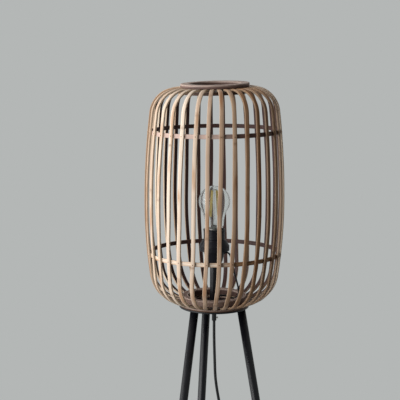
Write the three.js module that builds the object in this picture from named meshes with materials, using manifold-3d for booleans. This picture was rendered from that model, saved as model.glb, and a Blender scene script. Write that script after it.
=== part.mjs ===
// Rattan floor lamp: a barrel cage of bent slats on a round plate with three tube legs.
// Millimetres, +Z up. The lamp stands on z = 0 and its front faces -Y.
import * as THREE from 'three';
import { mergeVertices } from 'three/addons/utils/BufferGeometryUtils.js';
import Module from 'manifold-3d';

const wasm = await Module();
wasm.setup();

// Whole lamp
const totalHeight = 1182.3;
const contactGap = 0.3;          // air between two pieces that touch
const runningGap = 0.4;          // radial air round what turns or slides
const overrun = 6;               // how far a cutter reaches past what it cuts

// Cage of bent slats
const slatCount = 32;
const slatWidth = 7.5;
const slatThickness = 4;
const slatEndRadius = 52;        // the slats' ends stop this far from the axis
const cageSpan = 413.3;          // outer height over the slats' flat ends
const cageRadius = 132.9;        // outer radius where the cage is widest
const widestDrop = 218;          // the widest place's depth below the slats' top face
const topFlatLength = 21.2;      // a slat's flat end, up to where its bend starts
const bottomFlatLength = 6.4;
const topDrawIn = 9.8;           // the bend's own widest place lies this far inside the cage's
const bottomDrawIn = 9.1;
const firstSlatDegrees = 3.35;   // the first slat's angle from the front
const swayDegrees = 1.15;        // the slats are set by hand, a little off an even spacing
const slatShiftDegrees = {       // the slats that stand further out of line, by their number
  1: -0.2, 2: -0.7, 3: -0.6, 4: -0.2, 5: -0.3, 29: 0.8, 31: 1, 32: 0.5,
};
const bottomTwistDegrees = 4.5;  // the slats wind this far round towards their ends
const topTwistDegrees = 1.5;
const sideLeanDegrees = 1.5;     // the cage's top is lower on the left and at the front
const frontLeanDegrees = 1.4;

// Rings and hoops that hold the slats
const topRingLip = 3.5;          // the ring reaches this far inside the slats' ends
const topRingWidth = 16.5;
const topRingThickness = 7;
const topRingEdgeRadius = 1.6;
const topCollarWidth = 15.5;
const topCollarHeight = 7.4;
const hoopHeight = 8;
const hoopThickness = 3;
const upperHoopDrop = 90.3;      // the hoop's middle below the top ring's
const lowerHoopDrop = 322.9;
const bottomRingLip = 2;
const bottomCollarWidth = 12;
const bottomCollarHeight = 11;
const collarEdgeShares = [0.5, 0.75, 1];   // of its width, where its lower edge follows the slats
const bottomRingWidth = 17;
const bottomRingThickness = 4;

// Base plate, legs and feet
const plateRadius = 67;
const plateThickness = 3;
const legCount = 3;
const legRadius = 8;
const legWall = 1.2;
const legTopRadius = 52.9;       // the leg's axis from the lamp's axis, at the plate's underside
const legTiltDegrees = 9.79;
const rightLegDegrees = -14.8;   // from +X, so the right leg stands a little to the front
const spigotLength = 35;
const footPadLength = 11;
const footPlugLength = 18;

// Stem that carries the lampholder
const stemHeight = 75;
const stemRadius = 8.2;
const nippleRadius = 5;
const nippleBoreRadius = 3.5;
const nippleTopLength = 10;
const nutHeight = 4;
const nutRadius = 8;
const nutProtrusion = 1.5;       // thread showing below the nut

// Lampholder and shade ring
const holderHeight = 72;
const holderRadius = 20.6;
const holderRimLip = 0.6;
const holderRimHeight = 2.4;
const cupDepth = 27.6;
const cupMouthWall = 2;
const cupMouthDepth = 4;
const contactBossRadius = 3.4;
const contactBossHeight = 1.6;
const webThickness = 4;
const domeHeight = 30;           // the lower part, which narrows to the neck
const domeKneeHeight = 8;
const domeKneeRadius = 15.5;
const neckRadius = 9.6;
const holderWall = 2.2;
const neckDepth = 11;
const leadHoleDrop = 4.1;        // the lead's hole below the shade ring
const shadeRingWidth = 8;
const shadeRingHeight = 20.3;
const shadeRingConeHeight = 11;
const shadeRingWall = 1.6;
const shadeRingDrop = 21;        // the ring's top below the holder's rim
const shadeRingRecess = 7;

// Bulb
const bulbRadius = 30;
const bulbLength = 109;
const bulbNeckRadius = 18.2;
const bulbShoulderHeight = 7.7;  // the glass widens to its neck over this height above the cap
const bulbBlendDegrees = 33;     // where the globe runs out into the neck
const glassWall = 0.8;
const glassSeatDepth = 8;
const capRadius = 13.3;
const capWall = 0.7;
const capLength = 27;
const capTipRadius = 4.6;
const capTipHeight = 1.4;
const capConeHeight = 6.6;
const filamentRadius = 1.5;
const filamentTopRadius = 5;     // the sticks lean in towards the top
const filamentBottomRadius = 9;
const filamentLength = 52;
const filamentTopDrop = 7;       // below the inside of the globe's top
const filamentDegrees = 203;     // the first pair's angle from +X
const filamentPairDegrees = 40;  // between the two sticks of a pair
const filamentPairCount = 2;
const mountRodRadius = 1.7;
const mountWireRadius = 0.6;
const mountFlareHeight = 24;
const mountFlareTopRadius = 4;

// Cord, its grip and what is on it
const cordRadius = 2.7;
const floorGap = 0.2;            // under what lies on the floor
const leadRadius = 1.7;
const leadHoleGap = 0.8;         // round the lead where it leaves the holder
const gripDistance = 17;         // the grip's axis in front of the stem's axis
const gripRadius = 4.4;
const gripFlangeRadius = 5.6;
const gripFlangeHeight = 2;
const gripLength = 24;
const gripStubRadius = 3.6;
const gripStubProtrusion = 2;    // above the plate
const gripBoreDepth = 14;
const gripMouthDepth = 3;
const gripScrewRadius = 1.9;
const gripScrewReach = 7.6;      // the screw head's end from the grip's axis
const gripScrewDrop = 18.5;
const switchLength = 60;
const switchWidth = 37;
const switchHeight = 17;
const switchEdge = 3;
const switchBootLength = 20;
const switchBootRadius = 5.4;
const bootTipWall = 0.8;         // round the cord at the thin end of a boot
const switchCordHeight = 8;
const buttonRadius = 12;
const buttonHeight = 10;
const buttonProtrusion = 5;
const buttonTravel = 2.5;
const buttonEdge = 1.5;
const plugWidth = 35.3;
const plugThickness = 13.7;
const plugLength = 34;
const plugTailWidth = 13;
const plugShoulder = 12;
const plugEdge = 1.6;
const plugBootLength = 24;
const plugBootRadius = 5.4;
const pinRadius = 2;
const pinLength = 19;
const pinSpacing = 18.6;
const coilRadius = 32;           // at the middle of the turns
const coilTurnGap = 0.6;
const coilTurnsPerLayer = 3;
const coilStepsPerTurn = 24;
const coilRunOut = 26;           // straight run from the last turn to the plug

// Routes of the cord in the lamp's own frame: the grip to the foot switch, and on to the coil.
// The lead's two routes are measured from its hole in the lampholder, and from the grip on the plate.
const dropPoints = [
  [0, -17, 730.2], [0, -17, 715], [0.2, -17, 692], [1.3, -17, 655], [2.9, -17, 616],
  [6.0, -17.1, 591], [9.8, -17.2, 569], [17, -17.5, 524], [24.6, -17.9, 455], [29.4, -18.3, 370],
  [32.6, -18.8, 285], [36, -19.4, 205], [41.2, -20.2, 135], [50, -21.4, 78], [63.5, -23.4, 36],
  [80, -26.8, 13], [96, -32.4, 4], [112, -43.4, 2.9], [121, -59, 2.9], [120, -77, 2.9],
  [111, -93, 2.9], [98.5, -103.6, 2.9], [85, -109.4, 3.8], [74, -111.6, 6.2], [65, -112, 7.8],
  [58.3, -112, 8],
];
const linkPoints = [
  [-42.3, -112, 8], [-48, -112, 7.7], [-56, -111, 5.9], [-64, -107, 3.9], [-71.4, -99, 2.9],
  [-76.8, -87, 2.9], [-79.4, -72, 2.9], [-80, -56, 2.9], [-80, -40, 2.9], [-80, -25.7, 2.9],
];
const holderLeadPoints = [
  [-5, 0, 0], [1.6, 0, 0], [6, 0, -1.2], [9.7, 0, -5.4], [13.4, 0, -18.6], [18, 0, -38.5],
];
const gripLeadPoints = [
  [45, 17, 39], [47.5, 16.4, 27], [47.2, 15.6, 20.4], [44.2, 14.6, 15.2], [38.8, 13.2, 13.2],
  [31.6, 11.6, 15.2], [22.6, 8.4, 19.2], [12.4, 4, 20.4], [4.4, 1, 15.4], [0.4, 0, 6], [0, 0, -2.8],
];

// Levels, worked out from the sizes above. The leaning ring reaches the lamp's height at its edge.
const topRingHoleRadius = slatEndRadius - topRingLip;
const topRingRadius = topRingHoleRadius + topRingWidth;
const sideSlope = Math.tan(THREE.MathUtils.degToRad(sideLeanDegrees));
const frontSlope = Math.tan(THREE.MathUtils.degToRad(frontLeanDegrees));
const ringTopZ = totalHeight - (topRingRadius - topRingEdgeRadius) * Math.hypot(sideSlope, frontSlope);
const slatTopZ = ringTopZ - topRingThickness - contactGap;
const slatBottomZ = slatTopZ - cageSpan;
const widestZ = slatTopZ - widestDrop;
const bottomRingHoleRadius = slatEndRadius - bottomRingLip;
const topCollarZ = slatTopZ - slatThickness - contactGap - topCollarHeight;
const bottomCollarZ = slatBottomZ + slatThickness + contactGap;
const bottomRingZ = slatBottomZ - contactGap - bottomRingThickness;
const plateTopZ = bottomRingZ - contactGap;
const plateBottomZ = plateTopZ - plateThickness;
const stemTopZ = plateTopZ + contactGap + stemHeight;
const holderBottomZ = stemTopZ + contactGap;
const holderTopZ = holderBottomZ + holderHeight;
const cupFloorZ = holderTopZ - cupDepth;
const bulbTipZ = cupFloorZ + contactBossHeight + contactGap;
const bulbCentreZ = bulbTipZ + bulbLength - bulbRadius;
const shadeRingTopZ = holderTopZ - shadeRingDrop;
const leadHoleZ = shadeRingTopZ - shadeRingHeight - leadHoleDrop;
const gripTopZ = plateBottomZ - contactGap;
const gripBoreZ = plateTopZ + gripStubProtrusion - gripBoreDepth;
const switchBaseZ = floorGap;
const coilBaseZ = floorGap + cordRadius;

// Finishes
const finishes = {
  slat: [0xb48f63, 0.7, 0],
  ring: [0x6b4b3b, 0.65, 0],
  hoop: [0x5b4032, 0.7, 0],
  steel: [0x18191b, 0.45, 0.6],
  rubber: [0x101010, 0.9, 0],
  black: [0x111113, 0.55, 0],
  glass: [0xdfe6e8, 0.05, 0],
  cap: [0xb9b9b4, 0.3, 0.9],
  filament: [0xd9b23c, 0.5, 0],
  button: [0x2a2a2c, 0.5, 0],
};

const lamp = new THREE.Group();
const cordPieces = new THREE.Group();

// Adds a named mesh to a group.
function addPiece(group, name, geometry, finish) {
  const [color, roughness, metalness] = finishes[finish];
  const mesh = new THREE.Mesh(geometry, new THREE.MeshStandardMaterial({ color, roughness, metalness }));
  mesh.name = name;
  group.add(mesh);
  return mesh;
}

// A solid turned about +Z from [radius, z] points. Points off the axis are closed on themselves.
function turned(outline, segments) {
  const points = outline.map(([r, z]) => new THREE.Vector2(r, z));
  if (points[0].x > 0) points.push(points[0].clone());
  return new THREE.LatheGeometry(points, segments).rotateX(Math.PI / 2);
}

// The [radius, z] points of an arc between two angles in radians.
function arcPoints(centre, radius, from, to, steps) {
  const points = [];
  for (let i = 0; i <= steps; i++) {
    const angle = from + ((to - from) * i) / steps;
    points.push([centre[0] + radius * Math.cos(angle), centre[1] + radius * Math.sin(angle)]);
  }
  return points;
}

// Turns a closed mesh into a solid for a cut or a join.
function toSolid(geometry) {
  const bare = new THREE.BufferGeometry().setAttribute('position', geometry.getAttribute('position'));
  if (geometry.index) bare.setIndex(geometry.index);
  const merged = mergeVertices(bare);
  return new wasm.Manifold(new wasm.Mesh({
    numProp: 3,
    vertProperties: merged.getAttribute('position').array,
    triVerts: new Uint32Array(merged.index.array),
  }));
}

// Turns a solid back into a mesh with flat faces.
function fromSolid(solid) {
  const { vertProperties, triVerts } = solid.getMesh();
  const geometry = new THREE.BufferGeometry();
  geometry.setAttribute('position', new THREE.BufferAttribute(vertProperties, 3));
  geometry.setIndex(new THREE.BufferAttribute(triVerts, 1));
  const flat = geometry.toNonIndexed();
  flat.computeVertexNormals();
  return flat;
}

const joined = (first, ...others) =>
  fromSolid(others.reduce((solid, other) => solid.add(toSolid(other)), toSolid(first)));
const cut = (body, ...cutters) =>
  fromSolid(cutters.reduce((solid, cutter) => solid.subtract(toSolid(cutter)), toSolid(body)));
const kept = (body, keeper) => fromSolid(toSolid(body).intersect(toSolid(keeper)));

// A round bar along +Z between two levels.
function bar(radius, low, high, segments) {
  return turned([[0, low], [radius, low], [radius, high], [0, high]], segments);
}

// A block that holds everything between two levels.
function slab(low, high) {
  const wide = totalHeight;
  return new THREE.BoxGeometry(wide, wide, high - low).translate(0, 0, (low + high) / 2);
}

// A round section swept along a smooth curve through the points.
function sweptCord(points, radius, sides, steps) {
  const section = new THREE.Shape();
  for (let i = 0; i < sides; i++) {
    const angle = (2 * Math.PI * i) / sides;
    const corner = [radius * Math.cos(angle), radius * Math.sin(angle)];
    if (i === 0) section.moveTo(...corner);
    else section.lineTo(...corner);
  }
  section.closePath();
  const curve = new THREE.CatmullRomCurve3(points.map((p) => new THREE.Vector3(...p)));
  return new THREE.ExtrudeGeometry(section, { steps, extrudePath: curve, bevelEnabled: false });
}

// Cage profile: a side arc from the widest place meets a bend, which runs out into the flat end
function bendArc(flatZ, flatLength, drawIn, side) {
  const centreR = slatEndRadius + flatLength;
  const radius = cageRadius - drawIn - centreR;
  const centreZ = flatZ - side * radius;
  const rise = centreZ - widestZ;
  const sideRadius = drawIn / 2 + radius + rise ** 2 / (2 * drawIn);
  const angle = Math.atan2(rise, sideRadius - drawIn - radius);
  return { centreR, centreZ, radius, sideRadius, angle };
}
const topBend = bendArc(slatTopZ, topFlatLength, topDrawIn, 1);
const bottomBend = bendArc(slatBottomZ, bottomFlatLength, bottomDrawIn, -1);

// One edge of the slat's side view, set in from the outer face.
function slatEdge(inset) {
  const bend = (arc, from, to) =>
    arcPoints([arc.centreR, arc.centreZ], arc.radius - inset, from, to, 6);
  const side = (radius, from, to, steps) =>
    arcPoints([cageRadius - radius, widestZ], radius - inset, from, to, steps).slice(1);
  return [
    [slatEndRadius, slatTopZ - inset],
    ...bend(topBend, Math.PI / 2, topBend.angle),
    ...side(topBend.sideRadius, topBend.angle, 0, 4),
    ...side(bottomBend.sideRadius, 0, bottomBend.angle, 3),
    ...bend(bottomBend, bottomBend.angle, -Math.PI / 2).slice(1),
    [slatEndRadius, slatBottomZ + inset],
  ];
}

function slatGeometry() {
  const outline = [...slatEdge(slatThickness), ...slatEdge(0).reverse()];
  const shape = new THREE.Shape(outline.map(([r, z]) => new THREE.Vector2(r, z)));
  return new THREE.ExtrudeGeometry(shape, { depth: slatWidth, bevelEnabled: false })
    .translate(0, 0, -slatWidth / 2)
    .rotateX(Math.PI / 2);
}

function slatAngle(index) {
  const even = (360 * index) / slatCount;
  const sway = swayDegrees * Math.cos(THREE.MathUtils.degToRad(even));
  const shift = slatShiftDegrees[index + 1] ?? 0;
  return THREE.MathUtils.degToRad(even + firstSlatDegrees + sway + shift - 90);
}

// How far a slat has wound round the axis at a level.
function twistAt(z) {
  const above = z > widestZ;
  const share = above ? (z - widestZ) / widestDrop : (widestZ - z) / (cageSpan - widestDrop);
  const most = above ? topTwistDegrees : -bottomTwistDegrees;
  return THREE.MathUtils.degToRad(most) * share ** 2;
}

// How far the lean lifts a point. Beyond the top ring's edge it lifts no further.
function leanAt({ x, y, z }) {
  const reach = Math.min(1, topRingRadius / Math.hypot(x, y));
  const height = (z - bottomRingZ) / (ringTopZ - bottomRingZ);
  const nearTop = THREE.MathUtils.smoothstep(z, ringTopZ - upperHoopDrop, topCollarZ);
  return reach * (x * sideSlope * height + y * frontSlope * nearTop);
}

// Gives a piece of the cage the twist and the lean of handwork.
function settled(geometry) {
  const position = geometry.getAttribute('position');
  const point = new THREE.Vector3();
  const up = new THREE.Vector3(0, 0, 1);
  for (let i = 0; i < position.count; i++) {
    point.fromBufferAttribute(position, i).applyAxisAngle(up, twistAt(position.getZ(i)));
    position.setXYZ(i, point.x, point.y, point.z + leanAt(point));
  }
  return geometry;
}

function addSlats() {
  const straight = slatGeometry();
  for (let i = 0; i < slatCount; i++) {
    const slat = settled(straight.clone().rotateZ(slatAngle(i)));
    addPiece(lamp, `slat_${String(i + 1).padStart(2, '0')}`, slat, 'slat');
  }
}

// On a line of [radius, z] points, the one value where the other is known.
const [radiusOf, levelOf] = [0, 1];
function lineAt(points, known, value, wanted) {
  for (let i = 1; i < points.length; i++) {
    const [from, to] = [points[i - 1], points[i]];
    const share = (value - from[known]) / (to[known] - from[known]);
    if (share >= 0 && share <= 1) return from[wanted] + share * (to[wanted] - from[wanted]);
  }
  return points.at(-1)[wanted];
}

// The slats' inner face: its radius beside the cage, and its level in the bottom corner.
const innerEdge = slatEdge(slatThickness);
const slatInnerRadius = (z) => lineAt(innerEdge, levelOf, z, radiusOf);
const slatFloorZ = (r) => lineAt(innerEdge.toReversed(), radiusOf, r, levelOf);

function hoopGeometry(drop) {
  const middle = ringTopZ - drop;
  const high = middle + hoopHeight / 2;
  const low = middle - hoopHeight / 2;
  const outer = (z) => slatInnerRadius(z) - contactGap;
  return turned([
    [outer(low) - hoopThickness, low],
    [outer(low), low],
    [outer(high), high],
    [outer(high) - hoopThickness, high],
  ], 64);
}

function topRingGeometry() {
  const low = ringTopZ - topRingThickness;
  const edge = topRingEdgeRadius;
  const rounded = (r, z, from) => arcPoints([r, z], edge, from, from + Math.PI / 2, 2);
  return turned([
    [topRingHoleRadius, low],
    [topRingRadius, low],
    ...rounded(topRingRadius - edge, ringTopZ - edge, 0),
    ...rounded(topRingHoleRadius + edge, ringTopZ - edge, Math.PI / 2),
  ], 48);
}

// A flat ring with a hole of one radius, between two levels.
function flatRing(hole, width, low, high, segments) {
  const radius = hole + width;
  return turned([[hole, low], [radius, low], [radius, high], [hole, high]], segments);
}

// The collar's lower edge follows the slats' bend.
function bottomCollarGeometry() {
  const high = bottomCollarZ + bottomCollarHeight;
  const radiusAt = (share) => bottomRingHoleRadius + share * bottomCollarWidth;
  const lowerEdge = collarEdgeShares.map((share) => {
    const r = radiusAt(share);
    return [r, slatFloorZ(r) + 2 * share * contactGap];
  });
  return turned([
    [radiusAt(0), bottomCollarZ],
    ...lowerEdge,
    [radiusAt(1), high],
    [radiusAt(0), high],
  ], 48);
}

function addRings() {
  const topCollar =
    flatRing(topRingHoleRadius, topCollarWidth, topCollarZ, topCollarZ + topCollarHeight, 48);
  addPiece(lamp, 'top_cap_ring', settled(topRingGeometry()), 'ring');
  addPiece(lamp, 'top_collar', settled(topCollar), 'ring');
  addPiece(lamp, 'upper_hoop', settled(hoopGeometry(upperHoopDrop)), 'hoop');
  addPiece(lamp, 'lower_hoop', settled(hoopGeometry(lowerHoopDrop)), 'hoop');
  addPiece(lamp, 'bottom_collar', bottomCollarGeometry(), 'ring');
  addPiece(lamp, 'bottom_cap_ring',
    flatRing(bottomRingHoleRadius, bottomRingWidth, bottomRingZ, bottomRingZ + bottomRingThickness, 48), 'ring');
}

// Legs: each is made along -Z from the plate's underside, tilted and turned to its place
const legAngle = (index) => THREE.MathUtils.degToRad(rightLegDegrees + (360 * index) / legCount);
const legTilt = THREE.MathUtils.degToRad(legTiltDegrees);
const legRun = plateBottomZ / Math.cos(legTilt);
const tubeEnd = legRun - footPadLength;

function onLeg(geometry, index) {
  const angle = legAngle(index);
  return geometry.rotateY(-legTilt).rotateZ(angle)
    .translate(legTopRadius * Math.cos(angle), legTopRadius * Math.sin(angle), plateBottomZ);
}

function plateGeometry() {
  const disc = cut(
    bar(plateRadius, plateBottomZ, plateTopZ, 48),
    bar(nippleRadius + contactGap, plateBottomZ - overrun, plateTopZ + overrun, 20),
    bar(gripStubRadius + contactGap, plateBottomZ - overrun, plateTopZ + overrun, 16)
      .translate(0, -gripDistance, 0),
  );
  const spigotRadius = legRadius - legWall - contactGap;
  const spigots = [];
  for (let i = 0; i < legCount; i++) {
    spigots.push(onLeg(bar(spigotRadius, -spigotLength, plateThickness / 2, 20), i));
  }
  return joined(disc, ...spigots);
}

function legGeometry(index) {
  const tube = flatRing(legRadius - legWall, legWall, -tubeEnd, overrun, 24);
  return kept(onLeg(tube, index), slab(0, plateBottomZ - contactGap));
}

function footGeometry(index) {
  const padTop = -tubeEnd - contactGap;
  const plugRadius = legRadius - legWall - contactGap;
  const body = turned([
    [0, -legRun - overrun],
    [legRadius, -legRun - overrun],
    [legRadius, padTop],
    [plugRadius, padTop],
    [plugRadius, padTop + footPlugLength],
    [0, padTop + footPlugLength],
  ], 24);
  return kept(onLeg(body, index), slab(0, plateBottomZ));
}

function addBase() {
  addPiece(lamp, 'base_plate', plateGeometry(), 'steel');
  for (let i = 0; i < legCount; i++) {
    addPiece(lamp, `leg_${i + 1}`, legGeometry(i), 'steel');
    addPiece(lamp, `foot_${i + 1}`, footGeometry(i), 'rubber');
  }
}

// Stem with a threaded nipple at both ends
function stemGeometry() {
  const low = plateTopZ + contactGap;
  const stubLow = plateBottomZ - contactGap - nutHeight - nutProtrusion;
  return turned([
    [nippleBoreRadius, stubLow],
    [nippleRadius, stubLow],
    [nippleRadius, low],
    [stemRadius, low],
    [stemRadius, stemTopZ],
    [nippleRadius, stemTopZ],
    [nippleRadius, stemTopZ + nippleTopLength],
    [nippleBoreRadius, stemTopZ + nippleTopLength],
  ], 24);
}

function nutGeometry() {
  const high = plateBottomZ - contactGap;
  const hexagon = bar(nutRadius, high - nutHeight, high, 6);
  return cut(hexagon, bar(nippleRadius + contactGap, high - nutHeight - overrun, high + overrun, 20));
}

// Lampholder: a cup for the bulb above a web, and a hollow dome for the wires below it
function holderGeometry() {
  const webZ = cupFloorZ - webThickness;
  const domeZ = holderBottomZ + domeHeight;
  const boreRadius = capRadius + runningGap;
  const mouthRadius = holderRadius - cupMouthWall;
  const rimRadius = holderRadius + holderRimLip;
  const nippleHole = nippleRadius + contactGap;
  const body = turned([
    [0, cupFloorZ + contactBossHeight],
    [contactBossRadius, cupFloorZ + contactBossHeight],
    [contactBossRadius, cupFloorZ],
    [boreRadius, cupFloorZ],
    [boreRadius, holderTopZ - cupMouthDepth],
    [mouthRadius, holderTopZ - cupMouthDepth],
    [mouthRadius, holderTopZ],
    [rimRadius, holderTopZ],
    [rimRadius, holderTopZ - holderRimHeight],
    [holderRadius, holderTopZ - holderRimHeight],
    [holderRadius, domeZ],
    [domeKneeRadius, holderBottomZ + domeKneeHeight],
    [neckRadius, holderBottomZ],
    [nippleHole, holderBottomZ],
    [nippleHole, holderBottomZ + neckDepth],
    [domeKneeRadius - holderWall, holderBottomZ + neckDepth],
    [holderRadius - holderWall, domeZ],
    [holderRadius - holderWall, webZ],
    [0, webZ],
  ].reverse(), 24);
  const leadHole = bar(leadRadius + leadHoleGap, 0, holderRadius + overrun, 12)
    .rotateY(Math.PI / 2)
    .translate(0, 0, leadHoleZ);
  return cut(body, leadHole);
}

function shadeRingGeometry() {
  const bore = holderRadius + runningGap;
  const radius = bore + shadeRingWidth;
  const low = shadeRingTopZ - shadeRingHeight;
  const rimZ = shadeRingTopZ - shadeRingConeHeight;
  return turned([
    [bore, low],
    [bore + shadeRingWall, low],
    [bore + shadeRingWall, low + shadeRingRecess],
    [radius - shadeRingWall, low + shadeRingRecess],
    [radius - shadeRingWall, low],
    [radius, low],
    [radius, rimZ],
    [bore + shadeRingWall, shadeRingTopZ],
    [bore, shadeRingTopZ],
  ], 28);
}

function addHolder() {
  addPiece(lamp, 'stem_tube', stemGeometry(), 'steel');
  addPiece(lamp, 'stem_nut', nutGeometry(), 'steel');
  addPiece(lamp, 'lampholder_body', holderGeometry(), 'black');
  addPiece(lamp, 'shade_ring', shadeRingGeometry(), 'black');
}

// Bulb: the glass is a thin shell, open at its neck, which stands in the metal cap
function glassEdge(inset) {
  const blend = THREE.MathUtils.degToRad(bulbBlendDegrees);
  const seatZ = bulbTipZ + capLength + contactGap;
  const neckEnd = seatZ + bulbShoulderHeight - bulbCentreZ;
  const start = new THREE.Vector2(bulbRadius * Math.cos(blend), -bulbRadius * Math.sin(blend));
  const drop = (start.x - bulbNeckRadius) / Math.tan(blend);
  const neck = new THREE.QuadraticBezierCurve(
    start,
    new THREE.Vector2(bulbNeckRadius, Math.max(start.y - drop, neckEnd)),
    new THREE.Vector2(bulbNeckRadius, neckEnd),
  );
  const capInside = capRadius - capWall - contactGap;
  const globe = arcPoints([0, bulbCentreZ], bulbRadius - inset, Math.PI / 2, -blend, 7);
  const run = neck.getPoints(3).slice(1).map((p) => [p.x - inset, bulbCentreZ + p.y]);
  return [
    [0, bulbCentreZ + bulbRadius - inset],
    ...globe.slice(1),
    ...run,
    [capInside - inset, seatZ],
    [capInside - inset, seatZ - glassSeatDepth],
  ];
}

function capGeometry() {
  const top = bulbTipZ + capLength;
  const coneTop = bulbTipZ + capConeHeight;
  return turned([
    [0, bulbTipZ],
    [capTipRadius, bulbTipZ],
    [capTipRadius, bulbTipZ + capTipHeight],
    [capRadius - capWall, coneTop],
    [capRadius, coneTop],
    [capRadius, top],
    [capRadius - capWall, top],
    [capRadius - capWall, coneTop + capWall],
    [0, coneTop + capWall],
  ], 28);
}

// The filament sticks lean on wires between a glass rod's head and its foot.
function filamentGeometry() {
  const topZ = bulbCentreZ + bulbRadius - glassWall - filamentTopDrop;
  const bottomZ = topZ - filamentLength;
  const footZ = bulbTipZ + capConeHeight + capWall + contactGap;
  const flareRadius = capRadius - capWall - glassWall - 2 * contactGap;
  const rod = turned([
    [0, footZ],
    [flareRadius - contactGap, footZ],
    [flareRadius - contactGap, footZ + mountFlareHeight / 2],
    [mountFlareTopRadius, footZ + mountFlareHeight],
    [mountRodRadius, bottomZ],
    [mountRodRadius, topZ],
    [0, topZ],
  ], 10);
  const pieces = [];
  const up = new THREE.Vector3(0, 0, 1);
  for (let i = 0; i < 2 * filamentPairCount; i++) {
    const pair = (360 * Math.floor(i / 2)) / filamentPairCount;
    const side = (i % 2 - 0.5) * filamentPairDegrees;
    const angle = THREE.MathUtils.degToRad(filamentDegrees + pair + side);
    const high = new THREE.Vector3(filamentTopRadius, 0, topZ);
    const low = new THREE.Vector3(filamentBottomRadius, 0, bottomZ);
    const along = high.clone().sub(low);
    const lean = new THREE.Quaternion().setFromUnitVectors(up, along.clone().normalize());
    const stick = bar(filamentRadius, 0, along.length(), 8)
      .applyQuaternion(lean)
      .translate(low.x, 0, low.z);
    const wire = (end) => bar(mountWireRadius, 0, end.x, 6)
      .rotateY(Math.PI / 2)
      .translate(0, 0, end.z);
    const lowWire = wire(low).translate(0, 0, filamentRadius);
    const highWire = wire(high).translate(0, 0, -filamentRadius);
    for (const piece of [stick, lowWire, highWire]) pieces.push(piece.rotateZ(angle));
  }
  return joined(rod, ...pieces);
}

function addBulb() {
  const glass = turned([...glassEdge(glassWall), ...glassEdge(0).reverse()], 24);
  addPiece(lamp, 'bulb_glass', glass, 'glass');
  addPiece(lamp, 'bulb_cap', capGeometry(), 'cap');
  addPiece(lamp, 'bulb_filament', filamentGeometry(), 'filament');
}

// Cord grip under the plate, with its clamp screw, and the lead inside the cage
function gripGeometry() {
  const low = gripTopZ - gripLength;
  const stubTop = plateTopZ + gripStubProtrusion;
  const leadHole = leadRadius + contactGap;
  const mouth = cordRadius + contactGap;
  const body = turned([
    [0, low + gripMouthDepth],
    [mouth, low + gripMouthDepth],
    [mouth, low],
    [gripRadius, low],
    [gripRadius, gripTopZ - gripFlangeHeight],
    [gripFlangeRadius, gripTopZ - gripFlangeHeight],
    [gripFlangeRadius, gripTopZ],
    [gripStubRadius, gripTopZ],
    [gripStubRadius, stubTop],
    [leadHole, stubTop],
    [leadHole, gripBoreZ],
    [0, gripBoreZ],
  ], 20);
  const screw = bar(gripScrewRadius, gripRadius / 2, gripScrewReach, 12)
    .rotateY(Math.PI / 2)
    .translate(0, 0, gripTopZ - gripScrewDrop);
  return joined(body, screw).translate(0, -gripDistance, 0);
}

// Foot switch: a low case with a round well for its button, and a boot at each end
function switchGeometry() {
  const shape = new THREE.Shape();
  const half = switchWidth / 2 - switchEdge;
  const straight = (switchLength - switchWidth) / 2;
  shape.absarc(straight, 0, half, -Math.PI / 2, Math.PI / 2);
  shape.absarc(-straight, 0, half, Math.PI / 2, 1.5 * Math.PI);
  const body = new THREE.ExtrudeGeometry(shape, {
    depth: switchHeight - 2 * switchEdge,
    bevelThickness: switchEdge,
    bevelSize: switchEdge,
    bevelSegments: 2,
    curveSegments: 8,
  }).translate(0, 0, switchBaseZ + switchEdge);
  const root = switchLength / 2 - switchEdge;
  const reach = switchLength / 2 + switchBootLength;
  const tip = cordRadius + bootTipWall;
  const boots = turned([
    [0, -reach],
    [tip, -reach],
    [switchBootRadius, -root],
    [switchBootRadius, root],
    [tip, reach],
    [0, reach],
  ], 12).rotateY(Math.PI / 2).translate(0, 0, switchCordHeight);
  const top = switchBaseZ + switchHeight;
  const wellFloor = top + buttonProtrusion - buttonHeight - buttonTravel - contactGap;
  const well = bar(buttonRadius + contactGap, wellFloor, top + overrun, 24);
  return cut(joined(body, boots), well).translate(...switchPlace);
}

function buttonGeometry() {
  const top = switchBaseZ + switchHeight + buttonProtrusion;
  const low = top - buttonHeight;
  return turned([
    [0, low],
    [buttonRadius, low],
    ...arcPoints([buttonRadius - buttonEdge, top - buttonEdge], buttonEdge, 0, Math.PI / 2, 2),
    [0, top],
  ], 24).translate(...switchPlace);
}

// The switch lies between the two free stretches of cord, in line with their ends.
const switchPlace = [
  (dropPoints.at(-1)[0] + linkPoints[0][0]) / 2,
  dropPoints.at(-1)[1],
  0,
];

// The lead leaves the lampholder's side, drops to the cage's bottom and goes down into the grip.
function leadPath() {
  return [
    ...holderLeadPoints.map(([x, y, z]) => [holderRadius + x, y, leadHoleZ + z]),
    ...gripLeadPoints.map(([x, y, z]) => [x, y - gripDistance, plateTopZ + z]),
    [0, -gripDistance, gripBoreZ + 2 * contactGap],
  ];
}

// Coil: the cord spirals in on the floor, climbs a layer and spirals out again
const coilTurns = 2 * coilTurnsPerLayer + 0.25;
const coilPitch = 2 * cordRadius + coilTurnGap;
const coilOuterRadius = coilRadius + (coilPitch * coilTurnsPerLayer) / 2;
const coilCentre = [
  linkPoints.at(-1)[0] + coilOuterRadius,
  linkPoints.at(-1)[1] + contactGap + 2 * cordRadius,
];

function coilPoint(turn) {
  const fromReversal = turn - coilTurnsPerLayer;
  const radius = coilOuterRadius - coilPitch * (coilTurnsPerLayer - Math.abs(fromReversal));
  const climb = THREE.MathUtils.clamp(fromReversal * 2 + 0.5, 0, 1);
  const angle = Math.PI - 2 * Math.PI * turn;
  return new THREE.Vector3(
    coilCentre[0] + radius * Math.cos(angle),
    coilCentre[1] + radius * Math.sin(angle),
    coilBaseZ + coilPitch * climb,
  );
}

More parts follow.
